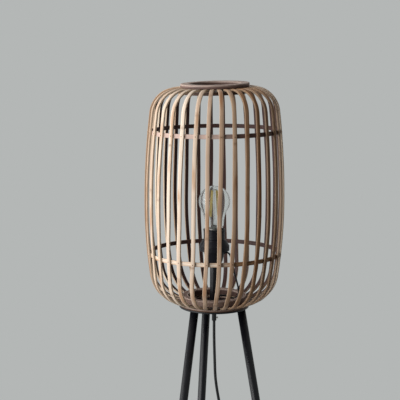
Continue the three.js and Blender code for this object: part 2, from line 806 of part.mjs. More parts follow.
// The coil's centreline, with a straight run at each end.
function coilPath() {
  const points = [];
  const steps = coilTurns * coilStepsPerTurn;
  for (let i = 0; i <= steps; i++) points.push(coilPoint(i / coilStepsPerTurn));
  const start = points[0].clone().setY(coilCentre[1] - 2 * cordRadius);
  const last = points.at(-1);
  const plugAxisZ = floorGap + plugThickness / 2;
  const lower = last.clone().setX(last.x + coilRunOut - 2 * cordRadius).setZ(plugAxisZ);
  const end = lower.clone().setX(last.x + coilRunOut);
  return [start, ...points, lower, end];
}

// A closed tube through the points, with its section square to the path.
function tubeThrough(points, radius, sides) {
  const positions = [];
  const up = new THREE.Vector3(0, 0, 1);
  points.forEach((point, i) => {
    const before = points[Math.max(i - 1, 0)];
    const after = points[Math.min(i + 1, points.length - 1)];
    const along = after.clone().sub(before).normalize();
    const side = along.clone().cross(up).normalize();
    const rise = side.clone().cross(along);
    for (let k = 0; k < sides; k++) {
      const angle = (2 * Math.PI * k) / sides;
      const corner = point.clone()
        .addScaledVector(side, radius * Math.cos(angle))
        .addScaledVector(rise, radius * Math.sin(angle));
      positions.push(corner.x, corner.y, corner.z);
    }
  });
  const faces = [];
  const rings = points.length;
  for (let i = 0; i < rings - 1; i++) {
    for (let k = 0; k < sides; k++) {
      const a = i * sides + k;
      const b = i * sides + ((k + 1) % sides);
      faces.push(a, b + sides, b, a, a + sides, b + sides);
    }
  }
  const end = (rings - 1) * sides;
  for (let k = 1; k < sides - 1; k++) {
    faces.push(0, k, k + 1);
    faces.push(end, end + k + 1, end + k);
  }
  const geometry = new THREE.BufferGeometry();
  geometry.setAttribute('position', new THREE.Float32BufferAttribute(positions, 3));
  geometry.setIndex(faces);
  return geometry;
}

// The least gap between two stretches of the coil that aren't next to each other.
function leastCoilGap(points) {
  let least = Infinity;
  for (let i = 0; i < points.length; i++) {
    for (let k = i + coilStepsPerTurn / 2; k < points.length; k++) {
      least = Math.min(least, points[i].distanceTo(points[k]));
    }
  }
  return least - 2 * cordRadius;
}

// Plug: a flat two-pin body with a boot at the cord's end
function plugGeometry(end) {
  const half = plugWidth / 2 - plugEdge;
  const tail = plugTailWidth / 2 - plugEdge;
  const shape = new THREE.Shape([
    [plugEdge, -tail],
    [plugLength - plugShoulder, -half],
    [plugLength - plugEdge, -half],
    [plugLength - plugEdge, half],
    [plugLength - plugShoulder, half],
    [plugEdge, tail],
  ].map(([x, y]) => new THREE.Vector2(x, y)));
  const body = new THREE.ExtrudeGeometry(shape, {
    depth: plugThickness - 2 * plugEdge,
    bevelThickness: plugEdge,
    bevelSize: plugEdge,
    bevelSegments: 2,
  }).translate(0, 0, plugEdge - plugThickness / 2);
  const boot = turned([
    [0, -plugBootLength],
    [cordRadius + bootTipWall, -plugBootLength],
    [plugBootRadius, plugEdge * 2],
    [0, plugEdge * 2],
  ], 14).rotateY(Math.PI / 2);
  const pin = (y) => bar(pinRadius, plugLength - 2 * plugEdge, plugLength + pinLength, 12)
    .rotateY(Math.PI / 2)
    .translate(0, y, 0);
  return joined(body, boot, pin(-pinSpacing / 2), pin(pinSpacing / 2))
    .translate(end.x + contactGap + plugBootLength, end.y, end.z);
}

function addCord() {
  addPiece(lamp, 'cord_grip', gripGeometry(), 'steel');
  addPiece(lamp, 'inner_lead', sweptCord(leadPath(), leadRadius, 8, 32), 'black');
  addPiece(cordPieces, 'cord_drop', sweptCord(dropPoints, cordRadius, 8, 60), 'black');
  addPiece(cordPieces, 'foot_switch', switchGeometry(), 'black');
  addPiece(cordPieces, 'foot_switch_button', buttonGeometry(), 'button');
  addPiece(cordPieces, 'cord_link', sweptCord(linkPoints, cordRadius, 8, 10), 'black');
  const path = coilPath();
  console.log(`least gap in the coil ${leastCoilGap(path).toFixed(2)} mm`);
  addPiece(cordPieces, 'cord_coil', tubeThrough(path, cordRadius, 6), 'black');
  addPiece(cordPieces, 'plug', plugGeometry(path.at(-1)), 'black');
}

addSlats();
addRings();
addBase();
addHolder();
addBulb();
addCord();

// The part's origin is on the floor, in the middle of the lamp without its free cord
const footprint = new THREE.Box3().setFromObject(lamp);
const middle = footprint.getCenter(new THREE.Vector3());
const part = new THREE.Group();
part.add(lamp, cordPieces);
lamp.position.set(-middle.x, -middle.y, 0);
cordPieces.position.copy(lamp.position);

export default part;
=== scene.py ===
"""Looks of a rattan floor lamp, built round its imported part. Metres, +Z up; the front faces -Y."""

import math
import random

import bmesh
import bpy
from mathutils import Matrix, Vector


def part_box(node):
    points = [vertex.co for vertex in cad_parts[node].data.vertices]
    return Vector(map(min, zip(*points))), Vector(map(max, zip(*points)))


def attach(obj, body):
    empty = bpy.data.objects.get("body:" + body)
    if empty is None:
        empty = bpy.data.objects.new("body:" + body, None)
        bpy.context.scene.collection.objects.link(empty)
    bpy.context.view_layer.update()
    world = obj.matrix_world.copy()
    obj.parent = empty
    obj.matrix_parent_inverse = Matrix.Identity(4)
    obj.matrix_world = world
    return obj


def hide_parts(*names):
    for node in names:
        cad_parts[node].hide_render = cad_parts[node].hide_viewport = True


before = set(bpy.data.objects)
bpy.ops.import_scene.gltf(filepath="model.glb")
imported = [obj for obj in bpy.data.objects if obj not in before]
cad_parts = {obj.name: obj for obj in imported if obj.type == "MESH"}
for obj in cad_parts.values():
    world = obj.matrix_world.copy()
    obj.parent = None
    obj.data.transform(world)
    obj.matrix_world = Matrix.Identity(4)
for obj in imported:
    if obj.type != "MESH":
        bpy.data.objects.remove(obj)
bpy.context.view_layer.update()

ORIGIN = Vector((0, 0, 0))
GAP = 0.0003                     # air between two pieces that touch

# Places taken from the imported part: the lamp's axis, and the plate that everything stands on
RING_LOW, RING_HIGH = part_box("bottom_cap_ring")
AXIS = Vector(((RING_LOW.x + RING_HIGH.x) / 2, (RING_LOW.y + RING_HIGH.y) / 2, 0))
SLAT_BOTTOM = RING_HIGH.z + GAP
PLATE_TOP = RING_LOW.z - GAP
PLATE_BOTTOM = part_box("leg_1")[1].z + GAP

# Camera: the lamp's axis stands a little right of the photograph's middle
CAMERA_LENS = 102.27             # millimetres, as the sensor
CAMERA_SENSOR = 36
CAMERA_DISTANCE = 2.1379
CAMERA_HEIGHT = 1.2762
CAMERA_ASIDE = -0.0275
CAMERA_PITCH = 8.46
CAMERA_ROLL = 0.12

# Cage
SLAT_COUNT = 32
SLAT_WIDTH = 0.0075
SLAT_THICKNESS = 0.004
SLAT_END_RADIUS = 0.052
CAGE_SPAN = 0.4133
CAGE_RADIUS = 0.1329
WIDEST_DROP = 0.218
TOP_FLAT = 0.0212
BOTTOM_FLAT = 0.0064
TOP_DRAW_IN = 0.0098
BOTTOM_DRAW_IN = 0.0091
FIRST_SLAT_DEGREES = 3.35
SWAY_DEGREES = 1.15
SLAT_SHIFT_DEGREES = {1: -0.2, 2: -0.7, 3: -0.6, 4: -0.2, 5: -0.3, 29: 0.8, 31: 1, 32: 0.5}
BOTTOM_TWIST = math.radians(4.5)
TOP_TWIST = math.radians(1.5)
SIDE_SLOPE = math.tan(math.radians(1.5))
FRONT_SLOPE = math.tan(math.radians(1.4))
TOP_RING_RADIUS = 0.065
TOP_RING_HOLE = 0.0485
TOP_RING_THICKNESS = 0.007
TOP_COLLAR_RADIUS = 0.064
TOP_COLLAR_HEIGHT = 0.0074
HOOP_HEIGHT = 0.008
HOOP_THICKNESS = 0.003
UPPER_HOOP_DROP = 0.0903         # from the top ring's top down to the hoop's middle, as the next
LOWER_HOOP_DROP = 0.3229
BOTTOM_HOLE = 0.05
BOTTOM_COLLAR_RADIUS = 0.062
BOTTOM_COLLAR_HEIGHT = 0.011
BOTTOM_RING_THICKNESS = 0.004
SLAT_TOP = SLAT_BOTTOM + CAGE_SPAN
WIDEST = SLAT_TOP - WIDEST_DROP
RING_TOP = SLAT_TOP + GAP + TOP_RING_THICKNESS
TOP_COLLAR = SLAT_TOP - SLAT_THICKNESS - GAP - TOP_COLLAR_HEIGHT

# Base
PLATE_RADIUS = 0.067
LEG_RADIUS = 0.008
LEG_WALL = 0.0012
LEG_TOP_RADIUS = 0.0529
LEG_TILT = math.radians(9.79)
LEG_RUN = PLATE_BOTTOM / math.cos(LEG_TILT)
RIGHT_LEG_DEGREES = -14.8
FOOT_PAD = 0.011

# Stem, lampholder and shade ring
STEM_RADIUS = 0.0082
STEM_HEIGHT = 0.075
STEM_TOP = PLATE_TOP + GAP + STEM_HEIGHT
NIPPLE_RADIUS = 0.005
HOLDER_BOTTOM = STEM_TOP + GAP
HOLDER_TOP = HOLDER_BOTTOM + 0.072
HOLDER_RADIUS = 0.0206
CUP_DEPTH = 0.0276
CONTACT_HEIGHT = 0.0016
CUP_FLOOR = HOLDER_TOP - CUP_DEPTH
SHADE_RING_TOP = HOLDER_TOP - 0.021
SHADE_RING_LOW = SHADE_RING_TOP - 0.0203
SHADE_RING_RADIUS = 0.029
LEAD_HOLE = SHADE_RING_LOW - 0.0041

# Bulb
BULB_LENGTH = 0.109
BULB_RADIUS = 0.03
BULB_TIP = CUP_FLOOR + CONTACT_HEIGHT + GAP
BULB_CENTRE = BULB_TIP + BULB_LENGTH - BULB_RADIUS
GLASS_WALL = 0.0008
CAP_RADIUS = 0.0133
CAP_TOP = BULB_TIP + 0.027
FILAMENT_TOP = BULB_CENTRE + BULB_RADIUS - GLASS_WALL - 0.007
FILAMENT_BOTTOM = FILAMENT_TOP - 0.052
FILAMENT_DEGREES = (183, 223, 3, 43)
FILAMENT_TOP_RADIUS = 0.005
FILAMENT_BOTTOM_RADIUS = 0.009

# Cord
CORD_RADIUS = 0.0027
LEAD_RADIUS = 0.0017
FLOOR_GAP = 0.0002
GRIP_DISTANCE = 0.017
GRIP_TOP = PLATE_BOTTOM - GAP
SWITCH_PLACE = Vector((0.008, -0.112, 0)) + AXIS
SWITCH_HEIGHT = 0.017
SWITCH_CORD_HEIGHT = 0.008
BUTTON_RADIUS = 0.012
BUTTON_TOP = FLOOR_GAP + SWITCH_HEIGHT + 0.005
PLUG_THICKNESS = 0.0137
COIL_RADIUS = 0.032
COIL_PITCH = 0.006
COIL_TURNS_PER_LAYER = 3
COIL_OUTER = COIL_RADIUS + COIL_PITCH * COIL_TURNS_PER_LAYER / 2
COIL_LAST_TURN_SHARE = 0.25
COIL_CLIMB_TURNS = 0.5
COIL_STEPS_PER_TURN = 48
COIL_RUN_OUT = 0.026

# Routes of the cord in the lamp's own frame: grip to foot switch, then switch to coil
DROP_POINTS = [
    (0, -0.017, 0.7302), (0, -0.017, 0.715), (0.0002, -0.017, 0.692), (0.0013, -0.017, 0.655),
    (0.0029, -0.017, 0.616), (0.006, -0.0171, 0.591), (0.0098, -0.0172, 0.569),
    (0.017, -0.0175, 0.524), (0.0246, -0.0179, 0.455), (0.0294, -0.0183, 0.37),
    (0.0326, -0.0188, 0.285), (0.036, -0.0194, 0.205), (0.0412, -0.0202, 0.135),
    (0.05, -0.0214, 0.078), (0.0635, -0.0234, 0.036), (0.08, -0.0268, 0.013),
    (0.096, -0.0324, 0.004), (0.112, -0.0434, 0.0029), (0.121, -0.059, 0.0029),
    (0.12, -0.077, 0.0029), (0.111, -0.093, 0.0029), (0.0985, -0.1036, 0.0029),
    (0.085, -0.1094, 0.0038), (0.074, -0.1116, 0.0062), (0.065, -0.112, 0.0078),
    (0.0583, -0.112, 0.008),
]
LINK_POINTS = [
    (-0.0423, -0.112, 0.008), (-0.048, -0.112, 0.0077), (-0.056, -0.111, 0.0059),
    (-0.064, -0.107, 0.0039), (-0.0714, -0.099, 0.0029), (-0.0768, -0.087, 0.0029),
    (-0.0794, -0.072, 0.0029), (-0.08, -0.056, 0.0029), (-0.08, -0.04, 0.0029),
    (-0.08, -0.0257, 0.0029),
]

# The inner lead's ends: from the lampholder's side, and down into the grip
HOLDER_LEAD_POINTS = [
    (-0.005, 0, 0), (0.0016, 0, 0), (0.006, 0, -0.0012), (0.0097, 0, -0.0054), (0.0134, 0, -0.0186),
    (0.018, 0, -0.0385),
]
GRIP_LEAD_POINTS = [
    (0.045, 0.017, 0.039), (0.0475, 0.0164, 0.027), (0.0472, 0.0156, 0.0204),
    (0.0442, 0.0146, 0.0152), (0.0388, 0.0132, 0.0132), (0.0316, 0.0116, 0.0152),
    (0.0226, 0.0084, 0.0192), (0.0124, 0.004, 0.0204), (0.0044, 0.001, 0.0154), (0.0004, 0, 0.006),
    (0, 0, -0.0028), (0, 0, -0.0114),
]


def new_object(name, data):
    made = bpy.data.objects.new(name, data)
    bpy.context.scene.collection.objects.link(made)
    return made


def around(angle, radius=1, z=0):
    """The point at an angle, a radius and a level round the origin."""
    return Vector((radius * math.cos(angle), radius * math.sin(angle), z))


def crosswise(out):
    """The level direction a quarter turn on from a level one."""
    return Vector((-out.y, out.x, 0))


# Camera
def make_camera():
    data = bpy.data.cameras.new("camera")
    data.lens = CAMERA_LENS
    data.sensor_width = CAMERA_SENSOR
    camera = new_object("camera", data)
    place = AXIS + Vector((CAMERA_ASIDE, -CAMERA_DISTANCE, CAMERA_HEIGHT))
    camera.matrix_world = (
        Matrix.Translation(place)
        @ Matrix.Rotation(math.radians(90 - CAMERA_PITCH), 4, "X")
        @ Matrix.Rotation(math.radians(CAMERA_ROLL), 4, "Z")
    )
    bpy.context.scene.camera = camera


make_camera()


# Shader helpers
def add(tree, kind, settings=None, **inputs):
    """Adds a shader node. An input is named with underscores, or by its number as in at_0."""
    made = tree.nodes.new("ShaderNode" + kind)
    for name, value in (settings or {}).items():
        setattr(made, name, value)
    for name, value in inputs.items():
        key = int(name[3:]) if name.startswith("at_") else name.replace("_", " ")
        if isinstance(value, bpy.types.NodeSocket):
            tree.links.new(value, made.inputs[key])
        else:
            made.inputs[key].default_value = value
    return made


def mixed(tree, factor, first, second, blend="MIX"):
    """The colour between two colours; each of the three may be a socket."""
    settings = {"data_type": "RGBA", "blend_type": blend}
    return add(tree, "Mix", settings, at_0=factor, at_6=first, at_7=second).outputs[2]


def ramp(tree, factor, *stops):
    """A grey value or colour looked up from (place, colour) stops."""
    made = add(tree, "ValToRGB", Fac=factor)
    elements = made.color_ramp.elements
    while len(elements) < len(stops):
        elements.new(0.5)
    for element, (place, colour) in zip(elements, stops):
        element.position = place
        element.color = colour
    return made.outputs["Color"]


def math_of(tree, operation, first, second):
    return add(tree, "Math", {"operation": operation}, at_0=first, at_1=second).outputs[0]


def marked(tree, label):
    """What mark() wrote on the mesh under a name."""
    return add(tree, "Attribute", {"attribute_name": label}).outputs["Fac"]


def grey(value):
    return (value, value, value, 1)


def srgb(red, green, blue):
    """A linear colour from 0 to 255 screen values."""
    linear = [((c / 255 + 0.055) / 1.055) ** 2.4 if c > 10 else c / 255 / 12.92 for c in (red, green, blue)]
    return (*linear, 1)


def dimmed(colour, share):
    return [c * share for c in colour[:3]] + [1]


def new_material(name, **sockets):
    """A material whose Principled shader has these constant values."""
    made = bpy.data.materials.new(name)
    made.use_nodes = True
    shader = made.node_tree.nodes["Principled BSDF"]
    for socket, value in sockets.items():
        shader.inputs[socket.replace("_", " ")].default_value = value
    return made, made.node_tree, shader


def noise_at(tree, vector, scale, detail=3.0, roughness=0.5, stretch=(1, 1, 1)):
    placed = add(tree, "Mapping", Vector=vector, Scale=stretch).outputs[0]
    noise = add(tree, "TexNoise", Vector=placed, Scale=scale, Detail=detail, Roughness=roughness)
    return noise.outputs["Fac"]


def object_place(tree):
    return add(tree, "TexCoord").outputs["Object"]


def bump(tree, shader, height, distance, strength):
    made = add(tree, "Bump", Height=height, Distance=distance, Strength=strength)
    tree.links.new(made.outputs[0], shader.inputs["Normal"])


# Materials
def cane_material():
    """Split cane: a skin from pale to brown by a tone that is partly the cane's own and partly painted shade,
    long fibres and darker joints, pale cut edges, stained dark inside.
    """
    made, tree, shader = new_material("cane", Roughness=0.5, Specular_IOR_Level=0.2)
    place = add(tree, "TexCoord").outputs["UV"]
    fibre = noise_at(tree, place, 1, 4, 0.6, (1500, 9, 1))
    band = noise_at(tree, place, 1, 3, 0.5, (300, 2.6, 1))
    patch = noise_at(tree, place, 1, 2, 0.5, (60, 12, 1))
    speck = noise_at(tree, place, 1, 2, 0.5, (700, 230, 1))
    pale = ramp(
        tree, band, (0.28, srgb(210, 182, 156)), (0.5, srgb(231, 209, 187)), (0.72, srgb(243, 230, 214))
    )
    brown = ramp(
        tree, band, (0.28, srgb(150, 105, 69)), (0.5, srgb(174, 130, 92)), (0.72, srgb(194, 157, 119))
    )
    # The tone mark holds painted shade and light as well as the cane's own tone: the hoops' right side and
    # the front slats to the right are browner, the front slats to the left paler.
    tone_and_painted_shade = marked(tree, "tone_and_painted_shade")
    skin = mixed(tree, tone_and_painted_shade, pale, brown)
    fibres = ramp(tree, fibre, (0.3, grey(0.74)), (0.55, grey(1)))
    patches = ramp(tree, patch, (0.36, srgb(226, 204, 184)), (0.5, grey(1)))
    specks = ramp(tree, speck, (0.24, grey(0.5)), (0.3, grey(0)))
    cut_edge = mixed(tree, tone_and_painted_shade, srgb(228, 210, 186), srgb(168, 138, 110))
    stained = mixed(tree, tone_and_painted_shade, srgb(200, 174, 162), srgb(112, 86, 78))
    look = mixed(tree, 1.0, mixed(tree, 0.85, skin, fibres, "MULTIPLY"), patches, "MULTIPLY")
    look = mixed(tree, specks, look, srgb(120, 80, 50))
    look = mixed(tree, marked(tree, "joint"), look, srgb(122, 86, 58))
    look = mixed(tree, marked(tree, "edge"), look, mixed(tree, 0.8, cut_edge, fibres, "MULTIPLY"))
    look = mixed(tree, marked(tree, "stain"), look, mixed(tree, 0.7, stained, fibres, "MULTIPLY"))
    inside = mixed(tree, 0.7, srgb(82, 60, 56), fibres, "MULTIPLY")
    tree.links.new(mixed(tree, marked(tree, "inside"), look, inside), shader.inputs["Base Color"])
    bump(tree, shader, fibre, 0.0003, 0.35)
    return made


def wood_material(name, dark, light):
    """Stained ply ring with straight grain along X, a bore darkened with painted shade, and pale worn upper
    edges, with painted light over the top ring's flat top.
    """
    made, tree, shader = new_material(name, Roughness=0.6, Specular_IOR_Level=0.35)
    place = object_place(tree)
    grain = noise_at(tree, place, 1, 4, 0.6, (26, 420, 700))
    cloud = noise_at(tree, place, 1, 3, 0.5, (9, 34, 34))
    pore = noise_at(tree, place, 1, 2, 0.5, (160, 1500, 1500))
    base = ramp(tree, cloud, (0.3, dark), (0.7, light))
    base = mixed(tree, 0.75, base, ramp(tree, grain, (0.32, grey(0.55)), (0.62, grey(1))), "MULTIPLY")
    base = mixed(tree, 0.5, base, ramp(tree, pore, (0.3, grey(0.4)), (0.4, grey(1))), "MULTIPLY")
    # Painted shade: the bore is darkened, as the hole's inside lies in shade.
    base = mixed(tree, marked(tree, "bore"), base, srgb(86, 62, 54))
    # Pale wear on the upper edges; over the top ring's whole flat top it is painted light from above.
    wear_and_painted_light = math_of(tree, "MULTIPLY", marked(tree, "wear_and_painted_light"), grain)
    tree.links.new(mixed(tree, wear_and_painted_light, base, srgb(214, 192, 178)), shader.inputs["Base Color"])
    bump(tree, shader, grain, 0.0004, 0.4)
    return made


def coated_material(name, colour, rough, grain_scale, depth, specular=0.5):
    """Powder coat, rubber or moulded plastic: one colour that varies a little over a fine grain."""
    made, tree, shader = new_material(name, Specular_IOR_Level=specular)
    place = object_place(tree)
    grain = noise_at(tree, place, grain_scale, 2)
    cloud = noise_at(tree, place, 26, 4, 0.6)
    clouds = ramp(tree, cloud, (0.3, dimmed(colour, 0.7)), (0.7, colour))
    tree.links.new(clouds, shader.inputs["Base Color"])
    levels_of = {"From_Min": 0.3, "From_Max": 0.7, "To_Min": rough - 0.06, "To_Max": rough + 0.06}
    level = add(tree, "MapRange", Value=cloud, **levels_of)
    tree.links.new(level.outputs[0], shader.inputs["Roughness"])
    bump(tree, shader, grain, depth, 0.5)
    return made


def metal_material(name, colour, rough, stretch=(900, 900, 60)):
    """Bare metal with fine drawn lines."""
    made, tree, shader = new_material(name, Metallic=1.0)
    lines = noise_at(tree, object_place(tree), 1, 3, 0.6, stretch)
    drawn = ramp(tree, lines, (0.3, dimmed(colour, 0.8)), (0.7, colour))
    tree.links.new(drawn, shader.inputs["Base Color"])
    level = add(tree, "MapRange", Value=lines, To_Min=rough - 0.08, To_Max=rough + 0.1)
    tree.links.new(level.outputs[0], shader.inputs["Roughness"])
    return made


def glass_material():
    clear = (0.97, 0.985, 0.98, 1)
    made, _, _ = new_material("glass", Roughness=0.0, IOR=1.46, Transmission_Weight=1.0, Base_Color=clear)
    return made


def filament_material():
    """Yellow phosphor over a row of chips."""
    made, tree, shader = new_material("filament", Roughness=0.4, Specular_IOR_Level=0.5)
    rows = noise_at(tree, object_place(tree), 1, 1, 0.5, (300, 300, 900))
    colour = ramp(tree, rows, (0.35, srgb(232, 192, 92)), (0.65, srgb(250, 228, 146)))
    tree.links.new(colour, shader.inputs["Base Color"])
    return made


MATERIALS = {
    "cane": cane_material(),
    "ring": wood_material("ring_wood", srgb(90, 66, 60), srgb(130, 103, 93)),
    "collar": wood_material("collar_wood", srgb(112, 86, 76), srgb(152, 126, 112)),
    # A darker copy of the ring wood: painted shade for the top collar under the top ring and the
    # downward-facing bottom ring.
    "rim_painted_shade": wood_material("rim_wood_painted_shade", srgb(74, 50, 38), srgb(112, 82, 64)),
    "steel": coated_material("powder_coat", srgb(16, 16, 21), 0.3, 1800, 0.0002, 0.29),
    "rubber": coated_material("rubber", srgb(20, 20, 21), 0.8, 900, 0.0003, 0.25),
    "holder": coated_material("moulded_black", srgb(13, 11, 21), 0.34, 1500, 0.0001, 0.26),
    "fitting": coated_material("fitting_black", srgb(20, 20, 22), 0.42, 2200, 0.00015, 0.35),
    "button": coated_material("button_grey", srgb(56, 56, 58), 0.4, 2200, 0.00012),
    "cord": coated_material("cord_black", srgb(18, 18, 20), 0.5, 1200, 0.0002, 0.35),
    "cap": metal_material("nickel", (0.62, 0.6, 0.57, 1), 0.3),
    "pin": metal_material("pin_bronze", (0.19, 0.1, 0.055, 1), 0.45, (600, 600, 600)),
    "glass": glass_material(),
    "filament": filament_material(),
    "glaze": coated_material("black_glaze", srgb(20, 18, 24), 0.2, 600, 0.0001),
}


# Mesh helpers
def running_lengths(outline):
    """The length so far at each (x, y) point of a closed outline, and its whole length."""
    lengths = [0.0]
    for here, beside in zip(outline, outline[1:] + outline[:1]):
        lengths.append(lengths[-1] + math.hypot(beside[0] - here[0], beside[1] - here[1]))
    return lengths


def surface(name, rings, closed=False, across=None, along=None):
    """
    A mesh through rings of points, each closed on itself. Unless the row of rings is closed too, its
    ends are capped. Across and along are the UVs, in metres.
    """
    count = len(rings[0])
    rows = len(rings) if closed else len(rings) - 1
    faces = []
    places = []
    for i in range(rows):
        after = (i + 1) % len(rings)
        for k in range(count):
            beside = (k + 1) % count
            faces.append((i * count + k, i * count + beside, after * count + beside, after * count + k))
            if across:
                u, w = across[k], across[k + 1]
                v, t = along[i], along[i + 1]
                places += [(u, v), (w, v), (w, t), (u, t)]
    if not closed:
        faces.append(tuple(reversed(range(count))))
        faces.append(tuple(range((len(rings) - 1) * count, len(rings) * count)))
        if across:
            places += [(across[k], along[0]) for k in reversed(range(count))]
            places += [(across[k], along[-1]) for k in range(count)]
    mesh = bpy.data.meshes.new(name)
    mesh.from_pydata([point for ring in rings for point in ring], [], faces)
    if across:
        layer = mesh.uv_layers.new(name="grain")
        layer.data.foreach_set("uv", [c for place in places for c in place])
    return new_object(name, mesh)


def from_bmesh(name, work):
    """A new object with a bmesh's faces; the bmesh is freed."""
    mesh = bpy.data.meshes.new(name)
    work.to_mesh(mesh)
    work.free()
    return new_object(name, mesh)


def tidy_mesh(made, sharp_degrees=38):
    """Merges what lies together, turns the faces outwards and shades smooth between sharp edges."""
    work = bmesh.new()
    work.from_mesh(made.data)
    bmesh.ops.remove_doubles(work, verts=work.verts, dist=1e-6)
    bmesh.ops.recalc_face_normals(work, faces=work.faces)
    work.to_mesh(made.data)
    work.free()
    made.data.shade_smooth()
    made.data.set_sharp_from_angle(angle=math.radians(sharp_degrees))
    return made


def mark(made, label, values):
    """Writes a value for each vertex, under a name that a material reads."""
    layer = made.data.attributes.new(label, "FLOAT", "POINT")
    layer.data.foreach_set("value", values)


def dress(made, material, slot, body, *nodes):
    """Gives a piece its material and the body it rides on, and hides the CAD nodes it stands for. The slot is
    not used.
    """
    made.data.materials.clear()
    made.data.materials.append(MATERIALS[material])
    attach(made, body)
    if nodes:
        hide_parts(*nodes)
    return made


def bent(start, corner, end, share):
    """A point on the curve that takes a corner off."""
    return (1 - share) ** 2 * start + 2 * share * (1 - share) * corner + share ** 2 * end


def rounded(corners, steps=4):
    """A closed outline of (radius, z, rounding) corners, with the corners rounded."""
    points = []
    for i, (r, z, rounding) in enumerate(corners):
        here = Vector((r, z))
        if not rounding:
            points.append((r, z))
            continue
        before = Vector(corners[i - 1][:2])
        after = Vector(corners[(i + 1) % len(corners)][:2])
        start = here + (before - here).normalized() * rounding
        end = here + (after - here).normalized() * rounding
        points += [bent(start, here, end, k / steps)[:] for k in range(steps + 1)]
    return points


def raised(corners, level):
    """(radius, height, rounding) corners, with their heights counted from a level."""
    return [(r, level + height, rounding) for r, height, rounding in corners]


def box_outline(inner, outer, low, high, rounding):
    corners = [(inner, low), (outer, low), (outer, high), (inner, high)]
    return rounded([(r, z, rounding) for r, z in corners])


def divided(outline, step):
    """A closed outline with its long sides divided."""
    points = []
    for (r, z), (r2, z2) in zip(outline, outline[1:] + outline[:1]):
        count = max(1, math.ceil(math.hypot(r2 - r, z2 - z) / step))
        points += [(r + (r2 - r) * k / count, z + (z2 - z) * k / count) for k in range(count)]
    return points


def levels(low, high, step):
    """Levels a step apart, after the lowest one."""
    count = max(2, round((high - low) / step))
    return [low + (high - low) * i / count for i in range(1, count + 1)]


def rounded_wall(edge, low, high, steps):
    """(inset, z) points of a wall's rounded lower edge, and those of its upper edge."""
    turns = [math.pi / 2 * k / steps for k in range(steps + 1)]
    lower = [(edge * (1 - math.sin(turn)), low + edge * (1 - math.cos(turn))) for turn in turns]
    upper = [(edge * (1 - math.cos(turn)), high - edge * (1 - math.sin(turn))) for turn in turns]
    return lower, upper


def turned(name, outline, segments=96, centre=AXIS, marks=None, painted_shade_tones=None, place=None, shape=None, sharp=38):
    """
    A solid turned about a vertical axis from a closed outline of (radius, z) points. Shape changes a
    point for its angle, place moves a finished point, marks are attributes along the outline and
    the tones round the axis are painted shade.
    """
    rings = []
    for i in range(segments):
        angle = 2 * math.pi * i / segments
        ring = []
        for r, z in outline:
            if shape:
                r, z = shape(r, z, angle)
            point = Vector((centre.x + r * math.cos(angle), centre.y + r * math.sin(angle), z))
            ring.append(place(point) if place else point)
        rings.append(ring)
    reach = max(r for r, z in outline)
    along = [2 * math.pi * reach * i / segments for i in range(segments + 1)]
    made = surface(name, rings, closed=True, across=running_lengths(outline), along=along)
    for label, values in (marks or {}).items():
        mark(made, label, list(values) * segments)
    if painted_shade_tones:
        mark(made, "tone_and_painted_shade", [tone_and_painted_shade for tone_and_painted_shade in painted_shade_tones for _ in outline])
    return tidy_mesh(made, sharp)


def along_line(name, points, radius, sides=16):
    """A round tube through points, with flat ends."""
    rings = []
    side = None
    turns = [2 * math.pi * k / sides for k in range(sides)]
    for i, point in enumerate(points):
        ahead = (points[min(i + 1, len(points) - 1)] - points[max(i - 1, 0)]).normalized()
        if side is None:
            side = ahead.orthogonal().normalized()
        side = (side - ahead * side.dot(ahead)).normalized()
        up = ahead.cross(side)
        rings.append([point + radius * (math.cos(turn) * side + math.sin(turn) * up) for turn in turns])
    return tidy_mesh(surface(name, rings))


def onto_x(spot):
    """Lays a piece made along +Z along +X instead, at a place."""
    return Matrix.Translation(spot) @ Matrix.Rotation(math.pi / 2, 4, "Y")


# Cords
def lamp_points(points):
    """Points of the lamp's own frame in the row frame."""
    return [Vector(point) + AXIS for point in points]


def smooth_route(points, steps=12):
    """Points along a centripetal Catmull-Rom curve through the given ones."""
    ends = [2 * points[0] - points[1], *points, 2 * points[-1] - points[-2]]
    route = [points[0].copy()]
    for i in range(len(points) - 1):
        four = ends[i:i + 4]
        knots = [0.0]
        for a, b in zip(four, four[1:]):
            knots.append(knots[-1] + math.sqrt((b - a).length))
        for k in range(1, steps + 1):
            at = knots[1] + (knots[2] - knots[1]) * k / steps
            level = four
            for span in (1, 2):
                level = [
                    level[j].lerp(level[j + 1], (at - knots[j]) / (knots[j + span] - knots[j]))
                    for j in range(4 - span)
                ]
            route.append(level[0].lerp(level[1], (at - knots[1]) / (knots[2] - knots[1])))
    return route


def cord_curve(name, route, radius):
    """A cord as one open curve through the route's points."""
    data = bpy.data.curves.new(name, "CURVE")
    data.dimensions = "3D"
    data.bevel_depth = radius
    data.bevel_resolution = 4
    data.use_fill_caps = True
    spline = data.splines.new("POLY")
    spline.points.add(len(route) - 1)
    for point, place in zip(spline.points, route):
        point.co = (*place, 1)
    return new_object(name, data)


def coil_middle(start):
    """The coil's middle; the link's end lies against the outermost turn."""
    return Vector((start.x + COIL_OUTER, start.y + GAP + 2 * CORD_RADIUS, 0))


